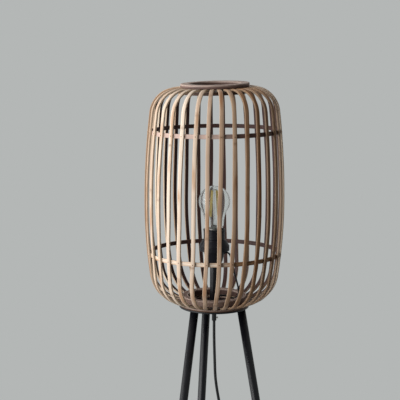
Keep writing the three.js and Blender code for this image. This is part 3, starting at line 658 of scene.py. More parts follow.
def coil_route(start):
    """The coil from the end of the link: it spirals in on the floor, climbs and spirals out."""
    base = FLOOR_GAP + CORD_RADIUS
    middle = coil_middle(start)
    turns = 2 * COIL_TURNS_PER_LAYER + COIL_LAST_TURN_SHARE
    route = []
    for i in range(int(turns * COIL_STEPS_PER_TURN) + 1):
        turn = i / COIL_STEPS_PER_TURN
        from_reversal = turn - COIL_TURNS_PER_LAYER
        radius = COIL_OUTER - COIL_PITCH * (COIL_TURNS_PER_LAYER - abs(from_reversal))
        climb = min(max(from_reversal / COIL_CLIMB_TURNS + 0.5, 0), 1)
        angle = math.pi - 2 * math.pi * turn
        route.append(middle + around(angle, radius, base + COIL_PITCH * climb))
    last = route[-1]
    plug_axis = FLOOR_GAP + PLUG_THICKNESS / 2
    for run_out in (COIL_RUN_OUT - 2 * CORD_RADIUS, COIL_RUN_OUT):
        route.append(Vector((last.x + run_out, last.y, plug_axis)))
    return route


drop_route = smooth_route(lamp_points(DROP_POINTS))
link_route = smooth_route(lamp_points(LINK_POINTS))
tail_route = link_route + coil_route(link_route[-1])

drop_cord = cord_curve("cord_to_switch", drop_route, CORD_RADIUS)
tail_cord = cord_curve("cord_to_plug", tail_route, CORD_RADIUS)
dress(drop_cord, "cord", "cord", "stand", "cord_drop")
dress(tail_cord, "cord", "cord", "stand", "cord_link", "cord_coil")


# The handmade cage winds a little towards its ends, and its top leans to the left and the front
def twist_at(z):
    if z > WIDEST:
        return TOP_TWIST * ((z - WIDEST) / WIDEST_DROP) ** 2
    return -BOTTOM_TWIST * ((WIDEST - z) / (CAGE_SPAN - WIDEST_DROP)) ** 2


def smooth_step(value, low, high):
    share = min(max((value - low) / (high - low), 0), 1)
    return share * share * (3 - 2 * share)


def settled(point):
    """A point of the cage, wound and leaned."""
    x, y = point.x - AXIS.x, point.y - AXIS.y
    turn = twist_at(point.z)
    x, y = x * math.cos(turn) - y * math.sin(turn), x * math.sin(turn) + y * math.cos(turn)
    reach = min(1, TOP_RING_RADIUS / max(math.hypot(x, y), 1e-6))
    base = SLAT_BOTTOM - GAP - BOTTOM_RING_THICKNESS
    height = (point.z - base) / (RING_TOP - base)
    near_top = smooth_step(point.z, RING_TOP - UPPER_HOOP_DROP, TOP_COLLAR)
    lift = reach * (x * SIDE_SLOPE * height + y * FRONT_SLOPE * near_top)
    return Vector((AXIS.x + x, AXIS.y + y, point.z + lift))


# Slats
SLAT_STEP = 0.004
SLAT_CROWN = 0.00025
SLAT_EDGE = 0.0008               # rounding of the outer edges, then of the inner ones
SLAT_INNER_EDGE = 0.0005
SLAT_WIDTH_SHARES = (0.96, 1.03)
SLAT_LEAN = 0.0005
SLAT_SHARP_DEGREES = 50
WAVERS = ((0.0004, 17), (0.0002, 43))  # (sideways, waves per metre in radians)
SWELL_SHARE = 0.02
SWELL_WAVES = 29
FIRST_JOINT = (0.02, 0.3)        # range of lengths from the slat's top
JOINT_SPACING = (0.24, 0.34)
JOINT_REACH = 0.0022
JOINT_LIFT = 0.0002
JOINT_SWELL_SHARE = 0.035
JOINT_DARK_SHARE = 0.55
GRAIN_RUN = 40                   # metres of grain that the slats are cut from
SLAT_STRAY = {                   # (sideways, height above the slats' bottom, reach) of each bow
    1: [(-0.0031, 0.18, 0.055), (0.001, 0.064, 0.035), (0.0014, 0, 0.018)],
    2: [(0.0012, 0.064, 0.035), (0.003, 0, 0.016)],
    3: [(0.003, 0, 0.014)],
    4: [(0.0024, 0, 0.014)],
    5: [(0.0012, 0, 0.014)],
    29: [(-0.0016, 0.125, 0.05)],
    30: [(-0.0014, 0.1, 0.06)],
    31: [(-0.0022, 0.064, 0.04)],
    32: [(0.0012, 0.02, 0.014), (-0.0026, 0, 0.012)],
}
# Front slats to the right are browner and those to the left paler: partly their own tone, partly painted
# shade and painted light from the lamps on the left. The other slats vary at random.
SLAT_TONE_AND_PAINTED_SHADE_SHARES = {            # how far a slat's skin is the browner one, where the photograph shows it
    1: 0.6, 2: 0.75, 3: 0.9, 4: 1, 5: 0.9, 6: 1, 26: 0.5, 27: 0.3, 28: 0.1, 29: 0, 30: 0, 31: 0.25, 32: 0.4,
}


def bend_arc(flat_z, flat_length, draw_in, side):
    """The bend between a slat's flat end and its long side, and the side's own arc."""
    centre_r = SLAT_END_RADIUS + flat_length
    radius = CAGE_RADIUS - draw_in - centre_r
    centre_z = flat_z - side * radius
    rise = centre_z - WIDEST
    side_radius = draw_in / 2 + radius + rise ** 2 / (2 * draw_in)
    return centre_r, centre_z, radius, side_radius, math.atan2(rise, side_radius - draw_in - radius)


def arc_stations(centre_r, centre_z, radius, start, end):
    """(radius, z, outward r, outward z) along an arc, without its last point."""
    count = max(2, round(abs(end - start) * radius / SLAT_STEP))
    stations = []
    for i in range(count):
        angle = start + (end - start) * i / count
        out_r, out_z = math.cos(angle), math.sin(angle)
        stations.append((centre_r + radius * out_r, centre_z + radius * out_z, out_r, out_z))
    return stations


def slat_stations():
    """The stations along a slat's outer face, from its top end."""
    top_r, top_z, top_radius, upper, top_angle = bend_arc(SLAT_TOP, TOP_FLAT, TOP_DRAW_IN, 1)
    low_r, low_z, low_radius, lower, low_angle = bend_arc(SLAT_BOTTOM, BOTTOM_FLAT, BOTTOM_DRAW_IN, -1)
    down = -math.pi / 2
    bottom = (low_r + low_radius * math.cos(down), low_z - low_radius, math.cos(down), -1)
    return [
        (SLAT_END_RADIUS, SLAT_TOP, 0, 1),
        *arc_stations(top_r, top_z, top_radius, math.pi / 2, top_angle),
        *arc_stations(CAGE_RADIUS - upper, WIDEST, upper, top_angle, 0),
        *arc_stations(CAGE_RADIUS - lower, WIDEST, lower, 0, low_angle),
        *arc_stations(low_r, low_z, low_radius, low_angle, down),
        bottom,
        (SLAT_END_RADIUS, SLAT_BOTTOM, 0, -1),
    ]


STATIONS = slat_stations()


def slat_section(half):
    """(across, depth, inside, cut edge) points round a slat, from its outer face's left edge."""
    face = [(share * (half - SLAT_EDGE), SLAT_CROWN * share * share, 0, 0) for share in (-1, -0.5, 0, 0.5, 1)]
    right = []
    for degrees in (30, 60, 90):
        turn = math.radians(degrees)
        depth = SLAT_CROWN + (SLAT_EDGE - SLAT_CROWN) * (1 - math.cos(turn))
        right.append((half - SLAT_EDGE + SLAT_EDGE * math.sin(turn), depth, 0, degrees / 90))
    for degrees in (0, 45, 90):
        turn = math.radians(degrees)
        across = half - SLAT_INNER_EDGE + SLAT_INNER_EDGE * math.cos(turn)
        depth = SLAT_THICKNESS - SLAT_INNER_EDGE + SLAT_INNER_EDGE * math.sin(turn)
        right.append((across, depth, degrees / 90, 1 - degrees / 90))
    left = [(-across, depth, inside, cut) for across, depth, inside, cut in reversed(right)]
    return face + right + [(0, SLAT_THICKNESS, 1, 0)] + left


def rippled(ripples, phases, at):
    """The sum of some (size, waves) ripples, each with its phase."""
    return sum(size * math.sin(waves * at + phase) for (size, waves), phase in zip(ripples, phases))


def slat_angle(index):
    even = 360 * index / SLAT_COUNT
    sway = SWAY_DEGREES * math.cos(math.radians(even))
    shift = SLAT_SHIFT_DEGREES.get(index + 1, 0)
    return math.radians(even + FIRST_SLAT_DEGREES + sway + shift - 90)


def stray_at(index, z):
    """How far a slat strays sideways at a level."""
    return sum(
        aside * math.exp(-(((z - SLAT_BOTTOM - level) / reach) ** 2))
        for aside, level, reach in SLAT_STRAY.get(index + 1, [])
    )


def slat_chances(index):
    """What chance gives a slat: half its width, lean, waves' phases, joints' places, grain's start."""
    chance = random.Random(index)
    half = SLAT_WIDTH / 2 * chance.uniform(*SLAT_WIDTH_SHARES)
    lean = chance.uniform(-SLAT_LEAN, SLAT_LEAN)
    phases = [chance.uniform(0, 2 * math.pi) for _ in range(3)]
    first_joint = chance.uniform(*FIRST_JOINT)
    joints = [first_joint, first_joint + chance.uniform(*JOINT_SPACING)]
    return half, lean, phases, joints, chance.uniform(0, GRAIN_RUN)


def make_slat(index):
    """One slat: a strip of cane with its joints, and a hand-made waver along it."""
    half, lean, phases, joints, grain_start = slat_chances(index)
    section = slat_section(half)
    out = around(slat_angle(index))
    aside = crosswise(out)
    # On the front slats this tone is partly painted shade and painted light.
    tone_and_shade_share = SLAT_TONE_AND_PAINTED_SHADE_SHARES.get(index + 1, random.Random(index + 100).uniform(0, 1))
    rings = []
    along = [grain_start]
    marks = {"joint": [], "inside": [], "edge": [], "tone_and_painted_shade": []}
    travelled = 0.0
    for i, (r, z, out_r, out_z) in enumerate(STATIONS):
        if i:
            step = math.hypot(r - STATIONS[i - 1][0], z - STATIONS[i - 1][1])
            travelled += step
            along.append(along[-1] + step)
        joint = max(math.exp(-(((travelled - place) / JOINT_REACH) ** 2)) for place in joints)
        waver = rippled(WAVERS, phases, travelled)
        waver += lean * (r - SLAT_END_RADIUS) / (CAGE_RADIUS - SLAT_END_RADIUS) + stray_at(index, z)
        swell = 1 + SWELL_SHARE * math.sin(travelled * SWELL_WAVES + phases[2]) + JOINT_SWELL_SHARE * joint
        normal = out * out_r + Vector((0, 0, out_z))
        middle = AXIS + out * r + Vector((0, 0, z)) + aside * waver
        ring = []
        for across, depth, inside, cut in section:
            lift = JOINT_LIFT * joint if depth < SLAT_THICKNESS / 2 else 0
            ring.append(settled(middle + aside * across * swell - normal * (depth - lift)))
            marks["joint"].append(JOINT_DARK_SHARE * joint * (1 - inside))
            marks["inside"].append(inside)
            marks["edge"].append(cut)
            marks["tone_and_painted_shade"].append(tone_and_shade_share)
        rings.append(ring)
    name = f"slat_{index + 1:02d}"
    made = surface(f"{name}_strip", rings, across=running_lengths(section), along=along)
    for label, values in marks.items():
        mark(made, label, values)
    tidy_mesh(made, SLAT_SHARP_DEGREES)
    return dress(made, "cane", "slat", "stand", name)


for index in range(SLAT_COUNT):
    make_slat(index)


# Rings and hoops
RING_SEGMENTS = 128
RING_STEP = 0.002
MARK_REACH = 0.0003              # how far a mark reaches past a rounded edge
TOP_RING_ROUNDING = 0.0016
# Painted light: the top ring's whole flat top is made pale as if lit from above.
TOP_FACE_PAINTED_LIGHT_SHARE = 0.9
TOP_COLLAR_ROUNDING = 0.0006
BOTTOM_RING_ROUNDING = 0.0009
BOTTOM_COLLAR_ROUNDING = 0.0012
HOOP_SEGMENTS = 192
HOOP_ROUNDING = 0.0007
HOOP_PAINTED_SHADE_FROM = 0.4            # share of the way to the right at which a hoop's painted shade is full
LONG_SIDE_RADIUS = 0.1           # a slat's long side lies outside this


def make_ring(node, material, outline, inner, outer, high, rounding, face_painted_light_share=0.0):
    """A wooden ring whose upper edges are worn pale, whose flat top can be made pale as painted light from
    above, and whose bore is darkened with painted shade.
    """
    outline = divided(outline, RING_STEP)
    near = rounding + MARK_REACH
    # Upper edges are pale as wear; the face share paints the flat top pale as painted light.
    edges = [1.0 if min(r - inner, outer - r) < near else face_painted_light_share for r, z in outline]
    marks = {
        "wear_and_painted_light": [edge if high - z < near else 0.0 for edge, (r, z) in zip(edges, outline)],
        # Painted shade in the bore.
        "bore": [1.0 if r < inner + MARK_REACH and high - z > near else 0.0 for r, z in outline],
    }
    made = turned(f"{node}_wood", outline, RING_SEGMENTS, marks=marks, place=settled)
    return dress(made, material, "ring", "stand", node)


def make_flat_ring(node, material, inner, outer, low, high, rounding, face_painted_light_share=0.0):
    outline = box_outline(inner, outer, low, high, rounding)
    make_ring(node, material, outline, inner, outer, high, rounding, face_painted_light_share)


make_flat_ring(
    "top_cap_ring", "ring", TOP_RING_HOLE, TOP_RING_RADIUS, RING_TOP - TOP_RING_THICKNESS, RING_TOP,
    TOP_RING_ROUNDING, TOP_FACE_PAINTED_LIGHT_SHARE,
)
# The top collar and the bottom ring take the darker wood copy, which is painted shade.
make_flat_ring(
    "top_collar", "rim_painted_shade", TOP_RING_HOLE, TOP_COLLAR_RADIUS, TOP_COLLAR, TOP_COLLAR + TOP_COLLAR_HEIGHT,
    TOP_COLLAR_ROUNDING,
)
make_flat_ring(
    "bottom_cap_ring", "rim_painted_shade", BOTTOM_HOLE, PLATE_RADIUS, PLATE_TOP + GAP, SLAT_BOTTOM - GAP,
    BOTTOM_RING_ROUNDING,
)


def inner_radius(z):
    """The radius of the slats' inner faces at a level beside the cage."""
    for (r, z1, out_r, out_z), (r2, z2, out_r2, out_z2) in zip(STATIONS, STATIONS[1:]):
        high, low = z1 - SLAT_THICKNESS * out_z, z2 - SLAT_THICKNESS * out_z2
        if high >= z >= low and r > LONG_SIDE_RADIUS:
            share = (high - z) / (high - low)
            return (r - SLAT_THICKNESS * out_r) * (1 - share) + (r2 - SLAT_THICKNESS * out_r2) * share
    return CAGE_RADIUS - SLAT_THICKNESS


def slat_floor(r):
    """The level of the slats' upper face in the cage's bottom corner."""
    _, centre_z, radius, _, _ = bend_arc(SLAT_BOTTOM, BOTTOM_FLAT, BOTTOM_DRAW_IN, -1)
    past = max(r - SLAT_END_RADIUS - BOTTOM_FLAT, 0)
    return centre_z - math.sqrt((radius - SLAT_THICKNESS) ** 2 - past ** 2)


def make_bottom_collar():
    """The lower ring inside the slats' ends; its lower edge follows their bend."""
    inner, outer = BOTTOM_HOLE, BOTTOM_COLLAR_RADIUS
    low = SLAT_BOTTOM + SLAT_THICKNESS + GAP
    high = low + BOTTOM_COLLAR_HEIGHT
    outline = [(inner, low)]
    for share in (0.5, 0.75, 1):
        r = inner + share * (outer - inner)
        outline.append((r, slat_floor(r) + 2 * share * GAP))
    rounding = BOTTOM_COLLAR_ROUNDING
    outline += rounded([(outer, high, rounding), (inner, high, rounding), (inner, low, 0)])[:-1]
    make_ring("bottom_collar", "collar", outline, inner, outer, high, rounding)


make_bottom_collar()


def make_hoop(node, drop, stain):
    """A bent strip inside the slats: straw-coloured or stained outside, and browner to the right with painted
    shade.
    """
    low, high = RING_TOP - drop - HOOP_HEIGHT / 2, RING_TOP - drop + HOOP_HEIGHT / 2
    bottom, top = inner_radius(low) - GAP, inner_radius(high) - GAP
    corners = [(bottom - HOOP_THICKNESS, low), (bottom, low), (top, high), (top - HOOP_THICKNESS, high)]
    outline = rounded([(r, z, HOOP_ROUNDING) for r, z in corners])
    middle = (bottom + top - HOOP_THICKNESS) / 2
    inside = [1.0 if r < middle else 0.0 for r, z in outline]
    marks = {"inside": inside, "stain": [stain] * len(outline)}
    turns = [2 * math.pi * i / HOOP_SEGMENTS for i in range(HOOP_SEGMENTS)]
    # Painted shade: the hoop turns browner towards the right, away from the lamps on the left.
    painted_shade_tones = [smooth_step(math.cos(turn), 0, HOOP_PAINTED_SHADE_FROM) for turn in turns]
    made = turned(f"{node}_strip", outline, HOOP_SEGMENTS, marks=marks, painted_shade_tones=painted_shade_tones, place=settled)
    return dress(made, "cane", "hoop", "stand", node)


make_hoop("upper_hoop", UPPER_HOOP_DROP, 1.0)
make_hoop("lower_hoop", LOWER_HOOP_DROP, 0.0)

PIN_RADIUS = 0.001
PIN_PROUD_SHARE = 0.4
PIN_STRAY = 0.0012
PIN_STRAY_TURN = 0.006


def make_pins():
    """Small domed nails where each slat crosses a hoop."""
    work = bmesh.new()
    for index in range(SLAT_COUNT):
        for drop in (UPPER_HOOP_DROP, LOWER_HOOP_DROP):
            chance = random.Random(index * 7 + round(drop * 1000))
            z = RING_TOP - drop + chance.uniform(-PIN_STRAY, PIN_STRAY)
            r = inner_radius(z) + SLAT_THICKNESS
            angle = slat_angle(index) + chance.uniform(-PIN_STRAY_TURN, PIN_STRAY_TURN)
            angle += stray_at(index, z) / r
            head = bmesh.ops.create_uvsphere(work, u_segments=12, v_segments=6, radius=PIN_RADIUS)
            placed = (
                Matrix.Translation(AXIS + around(angle, r, z))
                @ Matrix.Rotation(angle, 4, "Z")
                @ Matrix.Diagonal((PIN_PROUD_SHARE, 1, 1, 1))
            )
            bmesh.ops.transform(work, matrix=placed, verts=head["verts"])
    for vertex in work.verts:
        vertex.co = settled(vertex.co)
    made = from_bmesh("slat_pins", work)
    made.data.shade_smooth()
    dress(made, "pin", "steel", "stand")


make_pins()


# Base plate, legs and feet
LEG_OVERRUN = 0.006              # what a leg and a foot have past the level that cuts them
LEG_ROUNDING = 0.0003
FOOT_ROUNDING = 0.0008
PLATE_ROUNDING = 0.0007
WELD_OUT = 0.0007                # the bead's section: out from the leg, drop and half height
WELD_DROP = 0.0008
WELD_HEIGHT = 0.0011
WELD_RIPPLES = ((0.00012, 23), (0.0001, 41))  # (size, ripples round the leg)


def onto_leg(index):
    """Places a piece made along -Z from the plate's underside onto a leg."""
    angle = math.radians(RIGHT_LEG_DEGREES + 120 * index)
    top = AXIS + around(angle, LEG_TOP_RADIUS, PLATE_BOTTOM)
    return Matrix.Translation(top) @ Matrix.Rotation(angle, 4, "Z") @ Matrix.Rotation(-LEG_TILT, 4, "Y")


def cut_level(made, level, keep_below):
    """Cuts a mesh at a level and closes it there."""
    work = bmesh.new()
    work.from_mesh(made.data)
    cut = bmesh.ops.bisect_plane(
        work, geom=work.verts[:] + work.edges[:] + work.faces[:], dist=1e-7,
        plane_co=(0, 0, level), plane_no=(0, 0, 1 if keep_below else -1), clear_outer=True,
    )
    edges = [e for e in cut["geom_cut"] if isinstance(e, bmesh.types.BMEdge)]
    bmesh.ops.holes_fill(work, edges=edges)
    bmesh.ops.recalc_face_normals(work, faces=work.faces)
    work.to_mesh(made.data)
    work.free()


def make_leg(index):
    """A leg tube, cut level under the plate, and its rubber foot, cut level on the floor."""
    tube_end = LEG_RUN - FOOT_PAD
    outline = box_outline(LEG_RADIUS - LEG_WALL, LEG_RADIUS, -tube_end, LEG_OVERRUN, LEG_ROUNDING)
    leg = turned(f"leg_{index + 1}_tube", outline, 48, ORIGIN)
    leg.data.transform(onto_leg(index))
    cut_level(leg, PLATE_BOTTOM - GAP, True)
    dress(leg, "steel", "steel", "stand", f"leg_{index + 1}")
    pad_low, pad_top = -LEG_RUN - LEG_OVERRUN, -tube_end - GAP
    outline = rounded([
        (0, pad_low, 0), (LEG_RADIUS, pad_low, 0), (LEG_RADIUS, pad_top, FOOT_ROUNDING), (0, pad_top, 0),
    ])
    foot = turned(f"foot_{index + 1}_cap", outline, 48, ORIGIN)
    foot.data.transform(onto_leg(index))
    cut_level(foot, 0, False)
    dress(foot, "rubber", "rubber", "stand", f"foot_{index + 1}")


for index in range(3):
    make_leg(index)


def make_plate():
    outline = rounded([
        (0, PLATE_BOTTOM, 0), (PLATE_RADIUS, PLATE_BOTTOM, PLATE_ROUNDING),
        (PLATE_RADIUS, PLATE_TOP, PLATE_ROUNDING), (0, PLATE_TOP, 0),
    ])
    dress(turned("base_plate_disc", outline, 128), "steel", "steel", "stand", "base_plate")


make_plate()


def make_weld(index):
    """An uneven bead where a leg meets the plate."""
    chance = random.Random(index)
    phases = [chance.uniform(0, 6) for _ in range(3)]

    def uneven(r, z, angle):
        return r + rippled(WELD_RIPPLES, phases, angle) * (r > LEG_RADIUS), z

    turns = [2 * math.pi * k / 8 for k in range(8)]
    outline = [
        (LEG_RADIUS + WELD_OUT * math.cos(turn), -WELD_DROP + WELD_HEIGHT * math.sin(turn)) for turn in turns
    ]
    bead = turned(f"leg_weld_{index + 1}", outline, 72, ORIGIN, shape=uneven)
    bead.data.transform(onto_leg(index))
    dress(bead, "steel", "steel", "stand", f"leg_{index + 1}")


for index in range(3):
    make_weld(index)

# Stem, nut and lampholder; corners are (radius, height, rounding)
NIPPLE_HEIGHT = STEM_HEIGHT + 0.01
STEM_FOOT = [(0.0035, -0.0055, 0), (NIPPLE_RADIUS, -0.0055, 0.0004)]  # from the plate's underside
STEM_TUBE = [                    # from the plate's top
    (NIPPLE_RADIUS, 0, 0), (STEM_RADIUS, 0, 0.0005), (STEM_RADIUS, STEM_HEIGHT, 0.0005),
    (NIPPLE_RADIUS, STEM_HEIGHT, 0), (NIPPLE_RADIUS, NIPPLE_HEIGHT, 0.0004), (0.0035, NIPPLE_HEIGHT, 0),
]
STEM_NUT = [                     # from the plate's underside
    (0.0053, -0.004, 0), (0.0073, -0.004, 0), (0.008, -0.0035, 0), (0.008, -0.0005, 0), (0.0073, 0, 0),
    (0.0053, 0, 0),
]
HOLDER_COLLAR_HEIGHT = 0.032     # where the threaded collar begins and, from the top, ends
HOLDER_COLLAR_END = 0.0034
HOLDER_LIP_RADIUS = HOLDER_RADIUS + 0.0006
HOLDER_THREAD_PITCH = 0.003
HOLDER_THREAD_DEPTH = 0.00045
HOLDER_THREAD_MARGIN = 0.001
HOLDER_THREAD_STEP = 0.0004
HOLDER_FOOT = [                  # from the holder's bottom
    (0, 0.011, 0), (0.0053, 0.011, 0), (0.0053, 0, 0), (0.0096, 0, 0.0005), (0.0155, 0.008, 0.004),
    (HOLDER_RADIUS, 0.03, 0.004), (HOLDER_RADIUS, HOLDER_COLLAR_HEIGHT, 0), (0, HOLDER_COLLAR_HEIGHT, 0),
]
HOLDER_CUP = [                   # from the holder's top
    (HOLDER_RADIUS, -0.0024, 0.0003), (HOLDER_LIP_RADIUS, -0.0022, 0.0003), (HOLDER_LIP_RADIUS, 0, 0.0006),
    (0.0186, 0, 0.0005), (0.0186, -0.004, 0.0004), (0.0137, -0.004, 0.0004), (0.0137, -CUP_DEPTH, 0.0006),
    (0.0034, -CUP_DEPTH, 0), (0.0034, CONTACT_HEIGHT - CUP_DEPTH, 0.0004), (0, CONTACT_HEIGHT - CUP_DEPTH, 0),
]
LEAD_BUSH = [                    # from the place where it sits in the holder's side
    (LEAD_RADIUS, -0.003, 0), (0.0036, -0.003, 0.0004), (0.0036, 0.0016, 0.0006),
    (LEAD_RADIUS, 0.0016, 0.0004),
]
LEAD_BUSH_DEPTH = 0.0008


def make_stem():
    """The tube with its narrower ends for the threads, drawn without thread, and the nut under the plate."""
    under = PLATE_BOTTOM - GAP
    outline = rounded(raised(STEM_FOOT, under) + raised(STEM_TUBE, PLATE_TOP + GAP))
    dress(turned("stem_tube_coated", outline, 48), "steel", "steel", "stand", "stem_tube")
    nut = turned("stem_nut_plated", rounded(raised(STEM_NUT, under)), 6, sharp=20)
    dress(nut, "cap", "steel", "stand", "stem_nut")


make_stem()


def thread(pitch, depth, low, high):
    """A shape for a thread cut between two levels: a smooth groove that winds round the axis."""
    def cut(r, z, angle):
        if not low <= z <= high:
            return r, z
        ends = min(z - low, high - z) / pitch
        groove = (1 - math.cos(2 * math.pi * z / pitch - angle)) / 2
        return r - depth * groove * min(1, 2 * ends), z
    return cut


def make_holder():
    """A moulded screw lampholder: domed foot, threaded collar for the shade ring, open cup."""
    low, high = HOLDER_BOTTOM + HOLDER_COLLAR_HEIGHT, HOLDER_TOP - HOLDER_COLLAR_END
    foot = rounded(raised(HOLDER_FOOT, HOLDER_BOTTOM), 6)[:-1]
    collar = [(HOLDER_RADIUS, z) for z in levels(low, high, HOLDER_THREAD_STEP)]
    cup = rounded(raised(HOLDER_CUP, HOLDER_TOP))
    threaded = thread(
        HOLDER_THREAD_PITCH, HOLDER_THREAD_DEPTH, low + HOLDER_THREAD_MARGIN, high - HOLDER_THREAD_MARGIN
    )
    body = turned("lampholder_moulding", foot + collar + cup, 96, shape=threaded)
    dress(body, "holder", "holder", "stand", "lampholder_body")
    grommet = turned("lampholder_bush", rounded(LEAD_BUSH), 32, ORIGIN)
    grommet.data.transform(onto_x(Vector((HOLDER_RADIUS - LEAD_BUSH_DEPTH, 0, LEAD_HOLE)) + AXIS))
    dress(grommet, "rubber", "holder", "stand", "lampholder_body")


make_holder()

# Shade ring; corners are (radius, height, rounding) from the band's lower edge
SHADE_RING_CORNERS = [
    (0.021, 0, 0.0003), (0.0226, 0, 0.0003), (0.0226, 0.007, 0.0005), (0.0274, 0.007, 0.0005),
    (0.0274, 0, 0.0003), (SHADE_RING_RADIUS, 0, 0.0006), (SHADE_RING_RADIUS, 0.0093, 0.0006),
    (0.0226, 0.0203, 0.0005), (0.021, 0.0203, 0.0003),
]
RIB_HEIGHTS = (0.0008, 0.001, 0.0081, 0.0083)
RIB_COUNT = 48
RIB_DEPTH = 0.0003


def make_shade_ring():
    """The ring nut that clamps a shade: a cone above a ribbed band."""
    outline = rounded(raised(SHADE_RING_CORNERS, SHADE_RING_LOW))
    band = [(SHADE_RING_RADIUS, SHADE_RING_LOW + height) for height in RIB_HEIGHTS]
    inside = SHADE_RING_RADIUS - RIB_DEPTH

    def ribbed(r, z, angle):
        if r < inside or not band[0][1] <= z <= band[-1][1]:
            return r, z
        return r - RIB_DEPTH * (0.5 - 0.5 * math.cos(RIB_COUNT * angle)), z

    # The ribs' levels go in after the outline's last point at the band's lower edge
    after = 1 + max(i for i, (r, z) in enumerate(outline) if z < band[0][1] and r > inside)
    made = turned("shade_ring_nut", outline[:after] + band + outline[after:], 8 * RIB_COUNT, shape=ribbed)
    dress(made, "holder", "holder", "shade_ring", "shade_ring")


make_shade_ring()

# Bulb; corners are (radius, height, rounding) from the tip of the cap
GLASS_BLEND = math.radians(33)   # how far below its middle the globe is round
GLASS_NECK_RADIUS = 0.0182
GLASS_NECK_HEIGHT = 0.0077
GLASS_GLOBE_STEPS = 32
GLASS_NECK_STEPS = 12
GLASS_TAIL = (                   # (radius, height) of its outer face from its seat on the cap
    (0.0176, 0.0048), (0.0135, 0.0012), (0.0123, -0.0004), (0.0123, -0.008),
)
CAP_THREAD_START = 0.0075
CAP_THREAD_END = 0.0235
CAP_THREAD_PITCH = 0.0036
CAP_THREAD_DEPTH = 0.0009
CAP_THREAD_STEP = 0.0003
CAP_SKIRT = [(0.0075, 0.003, 0.0002), (0.0117, 0.0062, 0.0006), (CAP_RADIUS, CAP_THREAD_START, 0)]
CAP_RIM = [
    (CAP_RADIUS, 0.027, 0.0003), (0.0126, 0.027, 0.0002), (0.0115, CAP_THREAD_END, 0),
    (0.0105, CAP_THREAD_START, 0), (0.0075, 0.0044, 0),
]
CAP_INSULATOR = [
    (0, 0.0009, 0), (0.0042, 0.0009, 0.0004), (0.0082, 0.0034, 0.0008), (0.0082, 0.0044, 0), (0, 0.0044, 0),
]
CAP_CONTACT = [(0, 0, 0), (0.0036, 0, 0.001), (0.0044, 0.0014, 0.0002), (0, 0.0014, 0)]
MOUNT_FOOT = BULB_TIP + 0.0076
MOUNT_PRESS = MOUNT_FOOT + 0.024
MOUNT_FLARE = [                  # from the mount's foot
    (0, 0, 0), (0.0108, 0, 0.0004), (0.0106, 0.008, 0.003), (0.0052, 0.016, 0.003),
    (0.0048, 0.024, 0.0014), (0.002, 0.0256, 0.0008),
]
MOUNT_ROD = [(0.0016, -0.002, 0.0004), (0.0026, 0.0008, 0.001), (0, 0.0016, 0)]  # from the filament's top
LOWER_WIRE = ((0.003, -0.005), (0.0045, 0.0006))  # (reach, height) from the press
UPPER_WIRE = ((0.0008, -0.0004), (0.003, 0.0002))  # from the filament's top
WIRE_LAP = 0.0014                # of a wire's end on the stick
WIRE_DROP = 0.0012               # of the lower wire's bend under the stick
WIRE_INSET = 0.001
WIRE_RISE = 0.0002               # of the upper wire's bend over the stick
STICK_RADIUS = 0.0015
STICK_END = 0.001
STICK_ROUNDING = 0.0008
WIRE_RADIUS = 0.0004


def glass_outline(inset):
    """The glass's (radius, z) line from the globe's top to the end in the cap."""
    seat = CAP_TOP + GAP
    radius = BULB_RADIUS - inset
    neck_end = seat + GLASS_NECK_HEIGHT - BULB_CENTRE
    start = Vector((BULB_RADIUS * math.cos(GLASS_BLEND), -BULB_RADIUS * math.sin(GLASS_BLEND)))
    fall = (start.x - GLASS_NECK_RADIUS) / math.tan(GLASS_BLEND)
    bend = Vector((GLASS_NECK_RADIUS, max(start.y - fall, neck_end)))
    end = Vector((GLASS_NECK_RADIUS, neck_end))
    line = [(0, BULB_CENTRE + radius)]
    for i in range(1, GLASS_GLOBE_STEPS + 1):
        angle = math.pi / 2 - (math.pi / 2 + GLASS_BLEND) * i / GLASS_GLOBE_STEPS
        line.append((radius * math.cos(angle), BULB_CENTRE + radius * math.sin(angle)))
    for i in range(1, GLASS_NECK_STEPS + 1):
        point = bent(start, bend, end, i / GLASS_NECK_STEPS)
        line.append((point.x - inset, BULB_CENTRE + point.y))
    return line + [(r - inset, seat + height) for r, height in GLASS_TAIL]


def make_bulb():
    outline = glass_outline(GLASS_WALL) + glass_outline(0)[::-1]
    dress(turned("bulb_glass_shell", outline, 96, sharp=60), "glass", "glass", "bulb", "bulb_glass")
    low, high = BULB_TIP + CAP_THREAD_START, BULB_TIP + CAP_THREAD_END
    shell = rounded(raised(CAP_SKIRT, BULB_TIP))
    shell += [(CAP_RADIUS, z) for z in levels(low, high, CAP_THREAD_STEP)]
    shell += rounded(raised(CAP_RIM, BULB_TIP))
    threaded = thread(CAP_THREAD_PITCH, CAP_THREAD_DEPTH, low, high)
    dress(turned("bulb_cap_shell", shell, 96, shape=threaded), "cap", "cap", "bulb", "bulb_cap")
    for kind, corners, material in (("insulator", CAP_INSULATOR, "glaze"), ("contact", CAP_CONTACT, "cap")):
        made = turned(f"bulb_cap_{kind}", rounded(raised(corners, BULB_TIP)), 48)
        dress(made, material, "cap", "bulb", "bulb_cap")


def wire_start(out, level, places):
    return [AXIS + out * reach + Vector((0, 0, level + height)) for reach, height in places]


